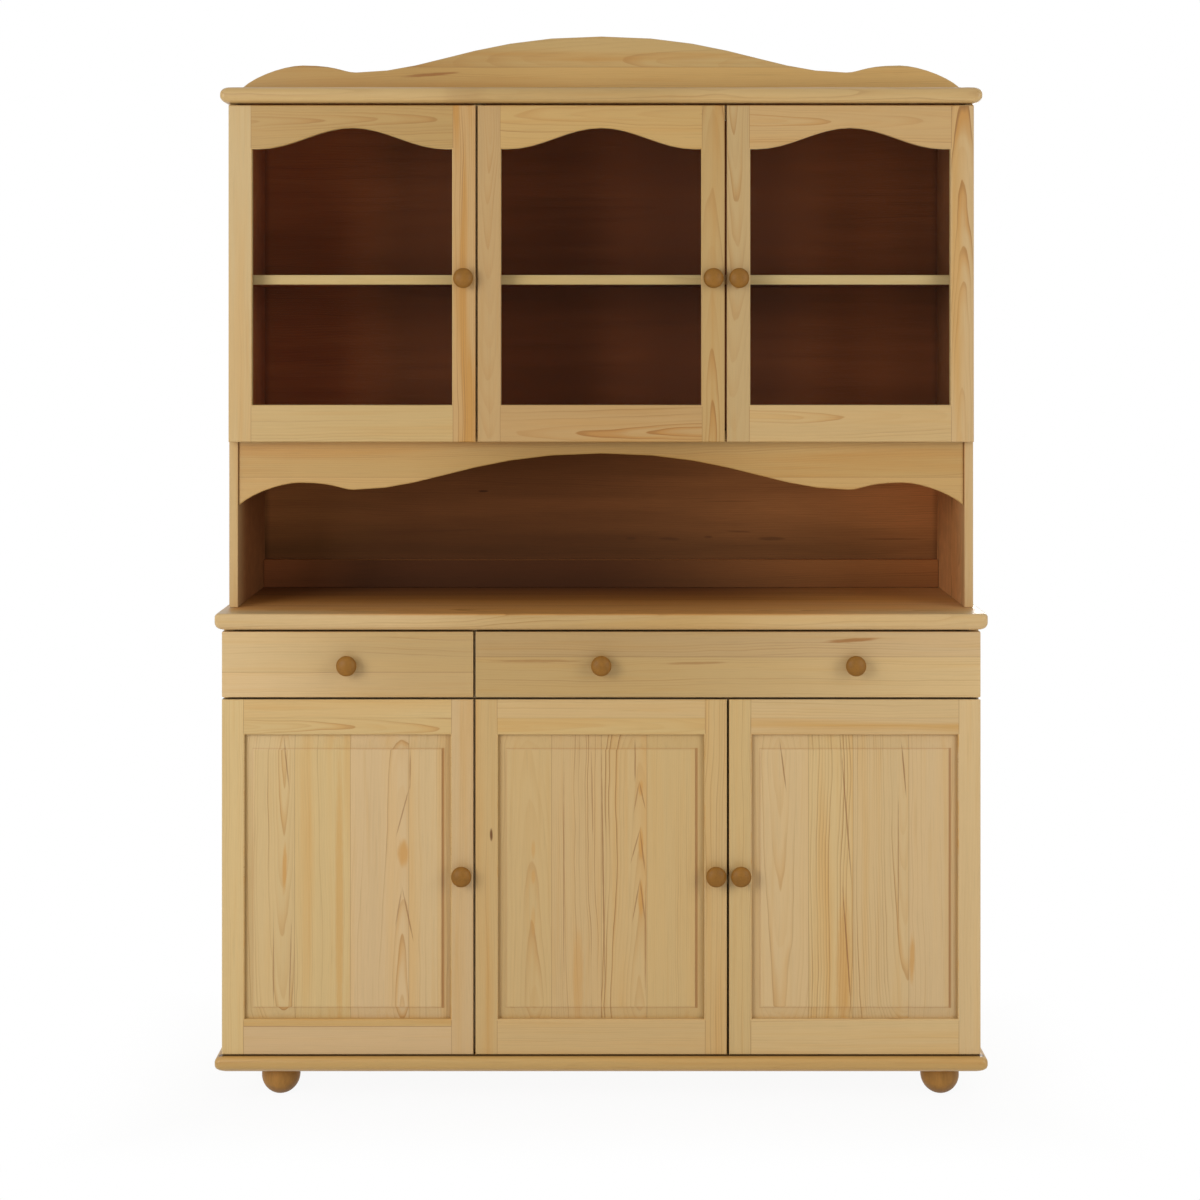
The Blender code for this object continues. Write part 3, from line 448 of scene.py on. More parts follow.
def pine(f, along, across, through, board):
    """Colour of bare pine, with its summer wood share and fibre.

    Along runs with the grain from the board's middle, across over its face, and through from the
    middle of its thickness.
    """
    shift = board["shift"]

    def figure(word):
        slow, fast, detail, roughness = FIGURE[word]
        return f.noise(along * slow + shift, across * fast, through * fast, detail, roughness)

    sway = (figure("sway") - 0.5) * RING_SWAY
    wobble = (figure("wobble") - 0.5) * RING_WOBBLE
    ripple = (figure("ripple") - 0.5) * RING_RIPPLE
    side = across - board["heart"] + sway + wobble
    down = through + board["near"] + board["lean"] * along
    ring = ((side * side + down * down).root() + ripple) / board["step"]
    count = ring.floor()
    part = ring - count
    fade = figure("fade").rise(*FADES).lift(FADED_RING, 1 - FADED_RING)
    bold = f.chance(count + shift) ** RING_RARITY * fade
    strength = (bold * board["lines"] * RING_GAIN).least(1.0)
    drop = 1 - part.rise(*RING_ENDS)
    summer = part.rise(*SUMMER_COMES) * drop * strength.lift(*SUMMER_SHOWS)
    line = part.rise(*LINE_COMES) * drop * strength
    flame = summer * (1 - abs(side).rise(*FLAME_WIDTH))
    fibre = figure("fibre")
    tone = figure("tone")
    soft = figure("soft").rise(*SOFT_STREAKS)
    warm = tone.rise(*WARM_PATCHES) * board["warm"] + soft * SOFT_SHARE
    colour = f.blend(SPRING_YELLOW, SPRING_PINK, board["pink"])
    colour = f.blend(colour, HEART_WOOD_AND_HALF_SHADE, warm)
    colour = f.blend(colour, SUMMER_WOOD, summer * SUMMER_SHARE)
    colour = f.blend(colour, FLAME, (flame * FLAME_GAIN).least(FLAME_MOST))
    colour = f.blend(colour, RING_LINE, line * LINE_SHARE)
    dash = figure("dash").rise(*DASHES)
    light = fibre * FIBRE_LIGHT + tone * TONE_LIGHT - dash * DASH_SHADE + PLAIN_LIGHT
    # A board's light and honey tone: random tone, and where given, partly painted light and shade
    colour = f.scaled(colour, light * board["light"])
    return f.blend(colour, HONEY_AND_SHADE_TINT, board["honey_and_shade"], "MULTIPLY"), summer, fibre


def eased_edge(f):
    """1 on softened arrises and rounded noses, where no axis of the piece is square to the face."""
    x, y, z = f.facing()
    return 1 - abs(x).most(abs(y)).most(abs(z)).rise(*EASED)


def lacquer(f, colour, summer, fibre, gloss=LACQUER_GLOSS, shine=LACQUER_SHINE, coat=LACQUER_COAT):
    """Satin lacquer over wood: the summer wood lies a little proud and a little duller."""
    height = summer * 0.5 + fibre * 0.5
    roughness = (fibre - 0.5) * FIBRE_DULLS + summer * SUMMER_DULLS + gloss
    return f.surface(
        Base_Color=colour, Roughness=roughness, Coat_Weight=coat, Coat_Roughness=COAT_ROUGHNESS,
        Specular_IOR_Level=shine, Normal=f.bump(height, GRAIN_DEPTH),
    )


def resin_streak(f, along, across, spot):
    """A long soft lens of resin with a ragged edge."""
    centre, reach, half, tilt = spot
    run = along - centre[0]
    side = (across - centre[1] - run * tilt) / half
    ragged = (f.noise(along * RAGGED_ALONG, across * RAGGED_ACROSS, 0.0) - 0.5) * RAGGED
    return 1 - ((run / reach) ** 2 + side * side + ragged).rise(*STREAK_FADE)


def streaks(f, name, along, across):
    """Each streak of a board: its colour and where it shows."""
    for tone, plans in STREAKS.get(name, {}).items():
        for strength, *spot in plans:
            yield tone, resin_streak(f, along, across, spot) * strength


def finished(f, colour, summer, fibre, dyed_and_shaded=None):
    """A painted highlight on eased edges, stain and painted shade where there are any, and lacquer over a pine
    colour.
    """
    colour = f.scaled(colour, eased_edge(f) * EASED_HIGHLIGHT + 1.0)
    if not dyed_and_shaded:
        return lacquer(f, colour, summer, fibre)
    dye_and_shade, stain_and_shade_share = dyed_and_shaded
    dye_and_shade = f.blend(dye_and_shade, PORE_DARK, (summer * PORE_GAIN).least(PORE_MOST))
    colour = f.blend(colour, f.scaled(dye_and_shade, fibre.lift(*DYE_FIBRE)), stain_and_shade_share)
    gloss = stain_and_shade_share * STAIN_DULLS + STAIN_GLOSS
    return lacquer(f, colour, summer, fibre, gloss, STAIN_SHINE, STAIN_COAT - stain_and_shade_share * STAIN_COAT)


def strip_plan(name, lot, low, high):
    """Edges between the boards of a glued-up piece, and what is chosen for each board."""
    if name in STRIPS:
        plan = STRIPS[name]
        return [strip["to"] for strip in plan[:-1]], plan
    edges = []
    edge = low + lot.uniform(*FIRST_BOARD) * BOARD_WIDTH
    while edge < high - BOARD_WIDTH * LEAST_BOARD:
        edges.append(edge)
        edge += BOARD_WIDTH * lot.uniform(*NEXT_BOARD)
    return edges, [{} for _ in range(len(edges) + 1)]


def plank(name, grain, across, honey_and_shade=0.0, stain_and_shade=None, marks=None):
    """A finish for one board or glued-up panel: its grain along one axis, its boards across another."""
    f = Finish(name)
    place = f.place()
    low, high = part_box(name)
    grain, across = AXES[grain], AXES[across]
    thick = 3 - grain - across
    middle = (low + high) / 2
    lot = random.Random(name)
    edges, plan = strip_plan(name, lot, low[across], high[across])
    spans = zip([low[across]] + edges, edges + [high[across]])
    length = high[grain] - low[grain]
    boards = []
    for span, strip in zip(spans, plan):
        chosen = {key: value for key, value in strip.items() if key != "to"}
        boards.append(sawn_board(lot, span, length, {"honey_and_shade": honey_and_shade, **chosen}))
    board = joined(strip_masks(place[across], edges), boards)
    along = place[grain] - middle[grain]
    colour, summer, fibre = pine(f, along, place[across], place[thick] - middle[thick], board)
    for edge in edges:
        colour = f.blend(colour, RING_LINE, place[across].near(edge, *SEAM) * BOARD_SEAM)
    for tone, streak in streaks(f, name, place[grain], place[across]):
        colour = f.blend(colour, tone, streak)
        summer = summer.most(streak) if stain_and_shade else summer
    if marks:
        colour = marks(f, place, colour, name)
    return finished(f, colour, summer, fibre, stain_and_shade and stain_and_shade(f, place, name))


def opening(node):
    """Left, right, low and high edges of a door frame's opening, read from its front face."""
    low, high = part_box(node)
    front = [v.co for v in NODES[node].data.vertices if v.co.y < low.y + FACE_DEPTH]
    inner = [p for p in front if low.x + STILE_LEAST < p.x < high.x - STILE_LEAST]
    left, right = min(p.x for p in inner), max(p.x for p in inner)
    ends = [p.z for p in inner if p.x < left + EDGE_SLACK]
    return left, right, min(ends), max(ends)


def door_frame(name, stile_honey_and_shade, rail_honey_and_shade, lip=0.0, foot=0.0):
    """A finish for a door frame: upright grain in its stiles, level grain in its rails, joints between.

    A lip is a second board along the foot of the top rail, and such a frame has painted shade on its upper edge.
    A foot is a second board along the upper edge of the low rail.
    """
    f = Finish(name)
    x, y, z = f.place()
    low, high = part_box(name)
    middle = (low + high) / 2
    left, right, sill, head = opening(name)
    lot = random.Random(name)
    rail = (x > left) * (x < right)
    stile = 1 - rail
    over = x > middle.x
    top = rail * (z > head + lip)
    lipped = rail * (z > middle.z) - top
    tall, wide = high.z - low.z, right - left
    members = {
        "stile_left": (stile * (1 - over), (low.x, left), tall, stile_honey_and_shade),
        "stile_right": (stile * over, (right, high.x), tall, stile_honey_and_shade),
        "rail_low": (rail * (z < middle.z), (low.z, sill), wide, rail_honey_and_shade),
        "rail_top": (top, (head + lip, high.z), wide, rail_honey_and_shade),
        "rail_lip": (lipped, (head, head + lip), wide, rail_honey_and_shade),
    }
    if foot:
        mask, *plan = members["rail_low"]
        strip = rail * (z < middle.z) * (z > sill - foot)
        members["rail_low"] = (mask - strip, *plan)
        members["rail_foot"] = (strip, (sill - foot, sill), wide, rail_honey_and_shade)
    boards = []
    for member, (mask, span, length, honey_and_shade) in members.items():
        chosen = {"honey_and_shade": honey_and_shade, **FRAME_BOARDS[name].get(member, {})}
        boards.append(sawn_board(lot, span, length, chosen, FRAME_LINES))
    board = joined([mask for mask, *_ in members.values()], boards)
    along = (z - middle.z) * stile + (x - middle.x) * rail
    across = x * stile + z * rail
    colour, summer, fibre = pine(f, along, across, y - middle.y, board)
    joint = x.near(left, *SEAM).most(x.near(right, *SEAM)) * (z < sill).most(z > head)
    if lip:
        joint = joint.most(z.near(head + lip, *SEAM) * rail * LIP_SEAM)
    if foot:
        joint = joint.most(z.near(sill - foot, *WIDE_SEAM) * rail)
    colour = f.blend(colour, RING_LINE, joint * FRAME_SEAM)
    if lip:
        # Painted shade on the frame's upper edge, in the gap under the drawers
        upper_edge = f.facing()[2].rise(*LOOKS_UP) * (z > high.z - UPPER_EDGE)
        colour = f.blend(colour, SHADE_AND_PIN_BROWN, upper_edge * SHADE_AND_PIN_DARK)
    for tone, streak in streaks(f, name, z, x):
        colour = f.blend(colour, tone, streak)
    return finished(f, colour, summer, fibre)


def painted_panel_shade(f, place, colour, node):
    """Painted shade along the edges of a panel's recess and of its field, and on its margins."""
    left, right, sill, head = opening(node.replace("_panel", "_frame"))
    field_left, field_right = left + FIELD_SIDE_MARGIN, right - FIELD_SIDE_MARGIN
    field_low, field_high = sill + FIELD_BOTTOM_MARGIN, head - FIELD_TOP_MARGIN
    x, y, z = place
    tall = (z > field_low - SKIN) * (z < field_high + SKIN)
    wide = (x > field_left - SKIN) * (x < field_right + SKIN)

    def line(across, spot, run, plan):
        half, blur, strength = plan
        return across.near(spot, half, blur) * run * strength

    drop = line(x, field_right, tall, FIELD_RIGHT_LINE)
    drop = drop.most(line(x, field_left, tall, FIELD_LEFT_LINE))
    drop = drop.most(line(z, field_high, wide, FIELD_TOP_LINE))
    drop = drop.most(line(z, field_low, wide, FIELD_FOOT_LINE))
    beside = (x - left).least(right - x)
    rim = beside.least(z - sill).least(head - z)
    rim = (1 - rim.rise(*RECESS_RIM)) * RECESS_RIM_SHADE
    shade = (1 - beside.rise(*BESIDE_STILE)).lift(MARGIN_SHADE, BESIDE_STILE_SHADE)
    # A painted warm band of half-shade inside the field's right edge, painted shade on the margins beside the
    # stiles, then on the field's edges and the recess rim
    colour = f.blend(colour, HEART_WOOD_AND_HALF_SHADE, line(x, field_right - FIELD_HALF_SHADE_INSET, tall, FIELD_HALF_SHADE))
    colour = f.blend(colour, SHADE_TINT, (1 - tall * wide) * shade, "MULTIPLY")
    return f.blend(f.blend(colour, AMBER_AND_EDGE_SHADE, drop), RESIN_AND_RECESS_SHADE, rim)


def painted_deeper_shade(f, place, colour, node):
    """Painted shade: a deeper honey tone over a part of a board's length."""
    middle, half, fade, share = DEEPER_SHADE[node]
    return f.blend(colour, SHADE_TINT, place[0].near(middle, half, fade) * share, "MULTIPLY")


def shade_under_doors(f, place, colour, node):
    """Painted shade along the foot of the doors, on the base board's top."""
    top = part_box(node)[1].z
    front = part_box("base_door_left_frame")[0].y + DOOR_FOOT_INSET
    line = place[1].near(front, *DOOR_FOOT_LINE) * (place[2] > top - SKIN)
    return f.blend(colour, SHADE_AND_PIN_BROWN, line * SHADE_AND_PIN_DARK)


def panel_pins(f, place, colour, node):
    """Pin heads along the edges of a back, on its rear face."""
    low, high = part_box(node)
    x, y, z = place

    def row(along, across, edge):
        run = along / PIN_STEP
        run = (run - run.floor() - 0.5) * PIN_STEP
        side = across - edge
        return 1 - (run * run + side * side).root().rise(PIN_RADIUS, PIN_RADIUS * PIN_BLUR)

    pins = row(x, z, low.z + PIN_FROM_EDGE).most(row(x, z, high.z - PIN_FROM_EDGE))
    pins = pins.most(row(z, x, low.x + PIN_FROM_EDGE)).most(row(z, x, high.x - PIN_FROM_EDGE))
    return f.blend(colour, SHADE_AND_PIN_BROWN, pins * (y > high.y - SKIN) * SHADE_AND_PIN_DARK)


def drawer_tray(name):
    """A finish for a drawer box: grain runs back along its sides, and across its ends and floor."""
    f = Finish(name)
    x, y, z = f.place()
    low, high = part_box(name)
    middle = (low + high) / 2
    lot = random.Random(name)
    side = 1 - (x > low.x + DRAWER_SIDE) * (x < high.x - DRAWER_SIDE)
    floor = (1 - side) * (y > low.y + DRAWER_SIDE) * (y < high.y - DRAWER_SIDE)
    end = 1 - side - floor
    over = x > middle.x
    tall, deep, wide = (low.z, high.z), high.y - low.y, high.x - low.x
    members = [(side * over, tall, deep), (side * (1 - over), tall, deep), (end, tall, wide)]
    members.append((floor, (low.y, high.y), wide))
    board = joined([m[0] for m in members], [sawn_board(lot, m[1], m[2], {}) for m in members])
    along = (y - middle.y) * side + (x - middle.x) * (1 - side)
    across = z * (1 - floor) + y * floor
    through = (abs(x - middle.x) - wide / 2) * side + z * floor + (abs(y - middle.y) - deep / 2) * end
    colour, summer, fibre = pine(f, along, across, through, board)
    joint = abs(x - middle.x).near(wide / 2 - DRAWER_SIDE, *SEAM) * (1 - floor)
    colour = f.blend(colour, RING_LINE, joint * FRAME_SEAM)
    return finished(f, colour, summer, fibre)


# Pieces


def placed(name, data):
    """A new object in the scene."""
    made = bpy.data.objects.new(name, data)
    bpy.context.scene.collection.objects.link(made)
    return made


def piece(name, bm, materials, body):
    """A finished mesh as a piece that moves with a body."""
    bmesh.ops.recalc_face_normals(bm, faces=bm.faces[:])
    mesh = bpy.data.meshes.new(name)
    bm.to_mesh(mesh)
    bm.free()
    mesh.shade_smooth()
    mesh.set_sharp_from_angle(angle=SMOOTH_ANGLE)
    for material in materials:
        mesh.materials.append(material)
    made = placed(name, mesh)
    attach(made, body)
    return made


def lathe(bm, profile, spot, turn, steps=TURN_STEPS):
    """Turns (radius, reach) points about an axis from a spot. A radius may follow the angle."""
    rings = []
    for radius, reach in profile:
        ring = []
        for i in range(1 if radius == 0 else steps):
            angle = 2 * math.pi * i / steps
            arm = radius(angle) if callable(radius) else radius
            point = Vector((arm * math.cos(angle), arm * math.sin(angle), reach))
            ring.append(bm.verts.new(spot + turn @ point))
        rings.append(ring)
    for near, far in zip(rings, rings[1:]):
        for i in range(steps):
            j = i + 1
            corners = (near[i % len(near)], near[j % len(near)], far[j % len(far)], far[i % len(far)])
            bm.faces.new(list(dict.fromkeys(corners)))


def arc(centre, radii, start, end, steps):
    """Points from one angle to another, in degrees, on an ellipse."""
    points = []
    for i in range(steps + 1):
        angle = math.radians(start + (end - start) * i / steps)
        points.append((centre[0] + radii[0] * math.cos(angle), centre[1] + radii[1] * math.sin(angle)))
    return points


def soft_shading():
    """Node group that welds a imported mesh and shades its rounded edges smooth."""
    group = bpy.data.node_groups.new("soft_arrises", "GeometryNodeTree")
    for way in ("INPUT", "OUTPUT"):
        group.interface.new_socket("Geometry", in_out=way, socket_type="NodeSocketGeometry")
    nodes = group.nodes
    entry = nodes.new("NodeGroupInput")
    weld = nodes.new("GeometryNodeMergeByDistance")
    weld.inputs["Distance"].default_value = WELD
    smooth = nodes.new("GeometryNodeSetShadeSmooth")
    angle = nodes.new("GeometryNodeInputMeshEdgeAngle")
    sharp = nodes.new("FunctionNodeCompare")
    sharp.inputs["B"].default_value = SMOOTH_ANGLE
    crease = nodes.new("GeometryNodeSetShadeSmooth")
    crease.domain = "EDGE"
    crease.inputs["Shade Smooth"].default_value = False
    leave = nodes.new("NodeGroupOutput")
    links = group.links
    links.new(entry.outputs[0], weld.inputs["Geometry"])
    links.new(weld.outputs[0], smooth.inputs["Geometry"])
    links.new(smooth.outputs[0], crease.inputs["Geometry"])
    links.new(angle.outputs["Unsigned Angle"], sharp.inputs["A"])
    links.new(sharp.outputs[0], crease.inputs["Selection"])
    links.new(crease.outputs[0], leave.inputs[0])
    return group


def dress(node, material, shading):
    """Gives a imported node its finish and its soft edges."""
    obj = NODES[node]
    obj.data.materials.clear()
    obj.data.materials.append(material)
    modifier = obj.modifiers.new("soft_arrises", "NODES")
    modifier.node_group = shading
    weighted = obj.modifiers.new("flat_faces", "WEIGHTED_NORMAL")
    weighted.keep_sharp = True
    weighted.weight = FLAT_FACE_WEIGHT


# Turned pieces


def stretched(place, axis, scale):
    """A place to draw fibres at: scaled by one number along an axis and by another across it."""
    along, across = scale
    return [p * (along if i == axis else across) for i, p in enumerate(place)]


def turned_wood(name, colour, axis, painted_shade=False):
    """Plain turned wood. With painted shade, it is darker towards the floor and deeper on its right."""
    f = Finish(name)
    place = f.place()
    far = [i for i in range(3) if i != axis]
    along, across = TURNED_RINGS
    fibre = f.noise(*stretched(place, axis, TURNED_FIBRE), detail=3.0, roughness=0.6)
    cloud = f.noise(*[p * TURNED_CLOUD for p in place])
    rings = f.noise(place[far[0]] * across, place[far[1]] * across, place[axis] * along, detail=1.0)
    from_fibre, from_cloud, from_rings, plain = TURNED_LIGHT
    light = fibre * from_fibre + cloud * from_cloud + rings * from_rings + plain
    # Painted shade on the feet, low down and on their right
    if painted_shade:
        light = light * place[2].rise(*LOW_SHADE).lift(*LOW_SHADE_LIGHT)
        light = light * f.facing()[0].rise(*TURNED_AWAY).lift(*TURNED_AWAY_SHADE)
    relief = rings * TURNED_RELIEF
    return lacquer(f, f.scaled(colour, light), relief, fibre, TURNED_GLOSS, TURNED_SHINE, 0.0)


def build_knobs(material):
    for node in sorted(n for n in NODES if "_knob" in n):
        low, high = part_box(node)
        middle = (low + high) / 2
        radius = (high.z - low.z) / 2
        reach = high.y - low.y
        under = arc(
            (KNOB_NECK, KNOB_RIM_REACH), (radius - KNOB_NECK, KNOB_RIM_REACH - KNOB_NECK_REACH),
            -90, 0, ARC_STEPS,
        )
        over = arc((0, KNOB_RIM_REACH), (radius, reach - KNOB_RIM_REACH), 0, 90, ARC_STEPS)
        stem = [(0, 0), (KNOB_FOOT, 0), (KNOB_FOOT, KNOB_FOOT_REACH), (KNOB_NECK, KNOB_NECK_REACH / 2)]
        bm = bmesh.new()
        spot = Vector((middle.x, high.y, middle.z))
        profile = stem + under + over[1:-1] + [(0, reach)]
        lathe(bm, profile, spot, Matrix.Rotation(math.radians(90), 3, "X"))
        made = piece(node + "_turned", bm, [material], frame_body(node))
        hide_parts(node)


def frame_body(node):
    for body, members in frame["record"]["behaviour"]["bodies"].items():
        if node in members:
            return body
    raise KeyError(node)


def build_feet(material):
    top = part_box("base_board")[0].z - FOOT_CLEAR
    for node in sorted(n for n in NODES if n.startswith("foot_")):
        low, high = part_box(node)
        middle = (low + high) / 2
        radius = (high.x - low.x) / 2
        start = -math.degrees(math.asin(FOOT_BALL_CENTRE / radius))
        end = math.degrees(math.asin((top - FOOT_BALL_CENTRE) / radius))
        ball = arc((0, FOOT_BALL_CENTRE), (radius, radius), start, end, 3 * ARC_STEPS)
        profile = [(0, 0)] + ball + [(FOOT_DOWEL, top), (FOOT_DOWEL, high.z), (0, high.z)]
        bm = bmesh.new()
        lathe(bm, profile, Vector((middle.x, middle.y, 0)), Matrix.Identity(3))
        made = piece(node + "_turned", bm, [material], "carcass")
        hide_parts(node)


# Glass and steel


def pane_glass():
    """Clear window glass: what is behind it shows, and its gloss grows towards a grazing look."""
    f = Finish("pane_glass")
    grazing = f.node("LayerWeight", {}, {"Blend": 0.5}, output="Facing")
    gloss = (grazing ** GRAZING_POWER).lift(*PANE_SHEEN)
    clear = f.node("BsdfTransparent", {}, {"Color": PANE_TINT})
    shine = f.node("BsdfGlossy", {}, {"Color": WHITE, "Roughness": PANE_ROUGHNESS})
    f.output(f.node("MixShader", {}, {0: gloss, 1: clear, 2: shine}))
    return f.material


def hinge_steel():
    f = Finish("hinge_steel")
    brushed = f.noise(*[p * scale for p, scale in zip(f.place(), STEEL_BRUSH)])
    return f.surface(
        Base_Color=f.blend(STEEL_PALE, STEEL_DARK, brushed), Metallic=1.0,
        Roughness=brushed.lift(*STEEL_ROUGHNESS), Normal=f.bump(brushed, BRUSH_DEPTH),
    )


def screw(bm, spot, out):
    """A domed screw head with a cross recess, standing on spot."""
    turn = Vector((0, 0, 1)).rotation_difference(out).to_matrix()

    def cross(radius):
        return lambda angle: radius if math.cos(4 * angle) > 0.5 else radius * RECESS_WAIST

    profile = [(0, 0)] + [(SCREW_RADIUS * r, SCREW_HEIGHT * h) for r, h in SCREW_DOME]
    profile += [(cross(SCREW_RADIUS * r), SCREW_HEIGHT * h) for r, h in SCREW_RECESS]
    lathe(bm, profile + [(0, SCREW_HEIGHT * RECESS_FLOOR)], spot, turn, SCREW_STEPS)


def flange(angle):
    """Outline of a hinge cup's flange: a disc with an ear above and below."""
    return max(FLANGE_RADIUS, min(EAR_REACH, EAR_HALF / max(abs(math.cos(angle)), 0.001)))


def hinge_cup(bm, spot):
    """A pressed cup in its bore, with a flange and two screws on the back of the door."""
    profile = [
        (0, -CUP_DEPTH), (CUP_OUTSIDE, -CUP_DEPTH), (CUP_OUTSIDE, CUP_CLEAR), (flange, CUP_CLEAR),
        (flange, FLANGE_THICK), (CUP_INSIDE + CUP_LIP, FLANGE_THICK),
        (CUP_INSIDE, FLANGE_THICK - CUP_LIP), (CUP_INSIDE, CUP_FLOOR - CUP_DEPTH),
        (0, CUP_FLOOR - CUP_DEPTH),
    ]
    lathe(bm, profile, spot, Matrix.Rotation(math.radians(-90), 3, "X"))
    for way in (-1, 1):
        screw(bm, spot + Vector((0, FLANGE_THICK, way * EAR_SCREW)), Vector((0, 1, 0)))


def build_hinge_fittings(steel):
    for joint in frame["joints"]:
        if joint["type"] != "hinge":
            continue
        door = joint["child"]
        low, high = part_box(door + "_frame")
        edge = joint["pos_m"][0]
        toward = 1 if edge < (low.x + high.x) / 2 else -1
        for end in ("lower", "upper"):
            node = door.replace("_door_", "_hinge_") + "_" + end
            near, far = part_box(node)
            height = (near.z + far.z) / 2
            bm = bmesh.new()
            hinge_cup(bm, Vector((edge + toward * CUP_FROM_EDGE, high.y, height)))
            piece(node + "_cup", bm, [steel], door)
            bm = bmesh.new()
            face = near.x + PLATE_RISE if toward > 0 else far.x - PLATE_RISE
            out = Vector((toward, 0, 0))
            for way in (-1, 1):
                spot = (face, low.y + PLATE_FROM_DOOR_FRONT, height + way * PLATE_SCREW)
                screw(bm, Vector(spot), out)
            piece(node + "_screws", bm, [steel], "carcass")


def bead_pine(name, axis):
    """Plain straight-grained pine of the glazing beads."""
    f = Finish(name)
    place = f.place()
    fibre = f.noise(*stretched(place, axis, BEAD_FIBRE), roughness=0.6)
    tone = f.noise(*stretched(place, axis, BEAD_TONE), detail=1.0)
    colour = f.blend(SPRING_YELLOW, SUMMER_WOOD, tone.rise(*BEAD_SUMMER) * BEAD_SUMMER_SHARE)
    return finished(f, f.scaled(colour, fibre.lift(*BEAD_LIGHT)), tone, fibre)


def build_glazing_beads():
    """Four mitred strips behind each pane, which hold it in its rebate."""
    materials = [bead_pine("bead_level", 0), bead_pine("bead_upright", 2)]
    for word in GLAZED_DOORS:
        door = "hutch_door_" + word
        low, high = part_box(door + "_pane")
        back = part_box(door + "_frame")[1].y - BEAD_INSET
        seat = high.y + PANE_GAP
        bevel = BEAD_ROUND * BEAD_ROUND_MIDDLE
        profile = [
            (0, seat), (BEAD_WIDTH, seat), (BEAD_WIDTH, seat + BEAD_FACE),
            (BEAD_WIDTH - bevel, back - bevel), (BEAD_WIDTH - BEAD_ROUND, back), (0, back),
        ]
        x = (low.x - BEAD_CLEAR, high.x + BEAD_CLEAR)
        z = (low.z - BEAD_CLEAR, high.z + BEAD_CLEAR)
        corners = [Vector((x[i], z[j])) for i, j in ((0, 0), (1, 0), (1, 1), (0, 1))]
        bm = bmesh.new()
        for i, start in enumerate(corners):
            stop = corners[(i + 1) % 4]
            run = (stop - start).normalized()
            inward = Vector((-run.y, run.x))
            ends = []
            for corner, way in ((start, 1), (stop, -1)):
                ring = []
                for width, y in profile:
                    spot = corner + run * way * (width + MITRE_GAP) + inward * width
                    ring.append(bm.verts.new((spot.x, y, spot.y)))
                ends.append(ring)
            faces = [ends[0], ends[1]]
            for j in range(len(profile)):
                k = (j + 1) % len(profile)
                faces.append((ends[0][j], ends[0][k], ends[1][k], ends[1][j]))
            for corners_of_face in faces:
                bm.faces.new(corners_of_face).material_index = i % 2
        piece(door + "_beads", bm, materials, door)


# Stain inside the hutch and the niche


def hutch_stain_and_shade(f, place, back=False):
    """The stain of the niche and of the cupboards over it, with painted light and shade.

    The niche is palest at its ends and darkest left of its middle, and its back is deepest at the foot,
    as painted light and shade. The cupboards are redder, and change from door to door as painted shade
    that evens out their light.
    """
    x, y, z = place
    left = (1 - x.rise(*NICHE_LEFT_END)) * (BACK_LEFT_LIGHT if back else WALL_LEFT_LIGHT)
    niche = f.blend(STAIN_IN_SHADE, STAIN_IN_LIGHT, x.rise(*NICHE_RIGHT_END).most(left))
    if back:
        tone = x.rise(*NICHE_BACK_END) * NICHE_END_LIGHT + 1.0
        niche = f.scaled(niche, tone * z.rise(*NICHE_BACK_FOOT).lift(*NICHE_FOOT_SHADE))
    bays = BAY_START
    for start, end, change in BAY_SHADE_CHANGES:
        bays = x.rise(start, end) * change + bays
    bays = bays * (1 - z.near(*OVER_SHELF) * OVER_SHELF_SHADE)
    cupboard = f.blend(CUPBOARD_STAIN_IN_LIGHT, CUPBOARD_STAIN_IN_SHADE, x.near(*BAY_MIDDLE))
    dye_and_shade = f.blend(niche, f.scaled(cupboard, bays), over_niche(z))
    cloud = f.noise(*[p * scale for p, scale in zip(place, CLOUD)], detail=3.0)
    return f.scaled(dye_and_shade, cloud.lift(*CLOUD_TONE))


def over_niche(z):
    """1 in the cupboards and 0 in the niche below them."""
    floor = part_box("hutch_bottom")[0].z
    return z.rise(floor, floor + STAIN_EDGE)


def stain_and_shade_back(f, place, node):
    """Stain with painted light and shade on a back, but for its rear face. Painted shade darkens the corners."""
    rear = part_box(node)[1].y
    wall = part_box("hutch_side_right")[0].x
    corner = abs(place[0]).near(wall, 0.0, CORNER_FADE) * CORNER_SHADE
    dye_and_shade = f.scaled(hutch_stain_and_shade(f, place, True), 1 - corner)
    return dye_and_shade, 1 - place[1].rise(rear - 2 * SKIN, rear - SKIN)


def stain_and_shade_rail(f, place, node):
    """Stain on the rail at the foot of the niche, with painted light and shade: darkest left of its middle and
    towards its foot, with a painted highlight on its upper arris.
    """
    low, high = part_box(node)
    x, y, z = place
    dye_and_shade = f.blend(RAIL_STAIN_IN_SHADE, RAIL_STAIN_IN_LIGHT, x.rise(*RAIL_RIGHT_END))
    dye_and_shade = f.blend(f.scaled(dye_and_shade, RAIL_LEFT_LIGHT), dye_and_shade, x.rise(*RAIL_LEFT_END))
    dye_and_shade = f.scaled(dye_and_shade, z.rise(low.z + RAIL_MARGIN, high.z - RAIL_MARGIN).lift(*RAIL_FOOT_SHADE))
    return f.blend(dye_and_shade, STAIN_IN_LIGHT, f.facing()[2].rise(*RAIL_ARRIS) * RAIL_ARRIS_HIGHLIGHT), 1.0


def stain_and_shade_behind_front(f, place, node):
    """Stain with painted light and shade on a board inside the hutch, but for its front edge."""
    return hutch_stain_and_shade(f, place), (place[1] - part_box(node)[0].y).rise(*BOARD_FRONT)


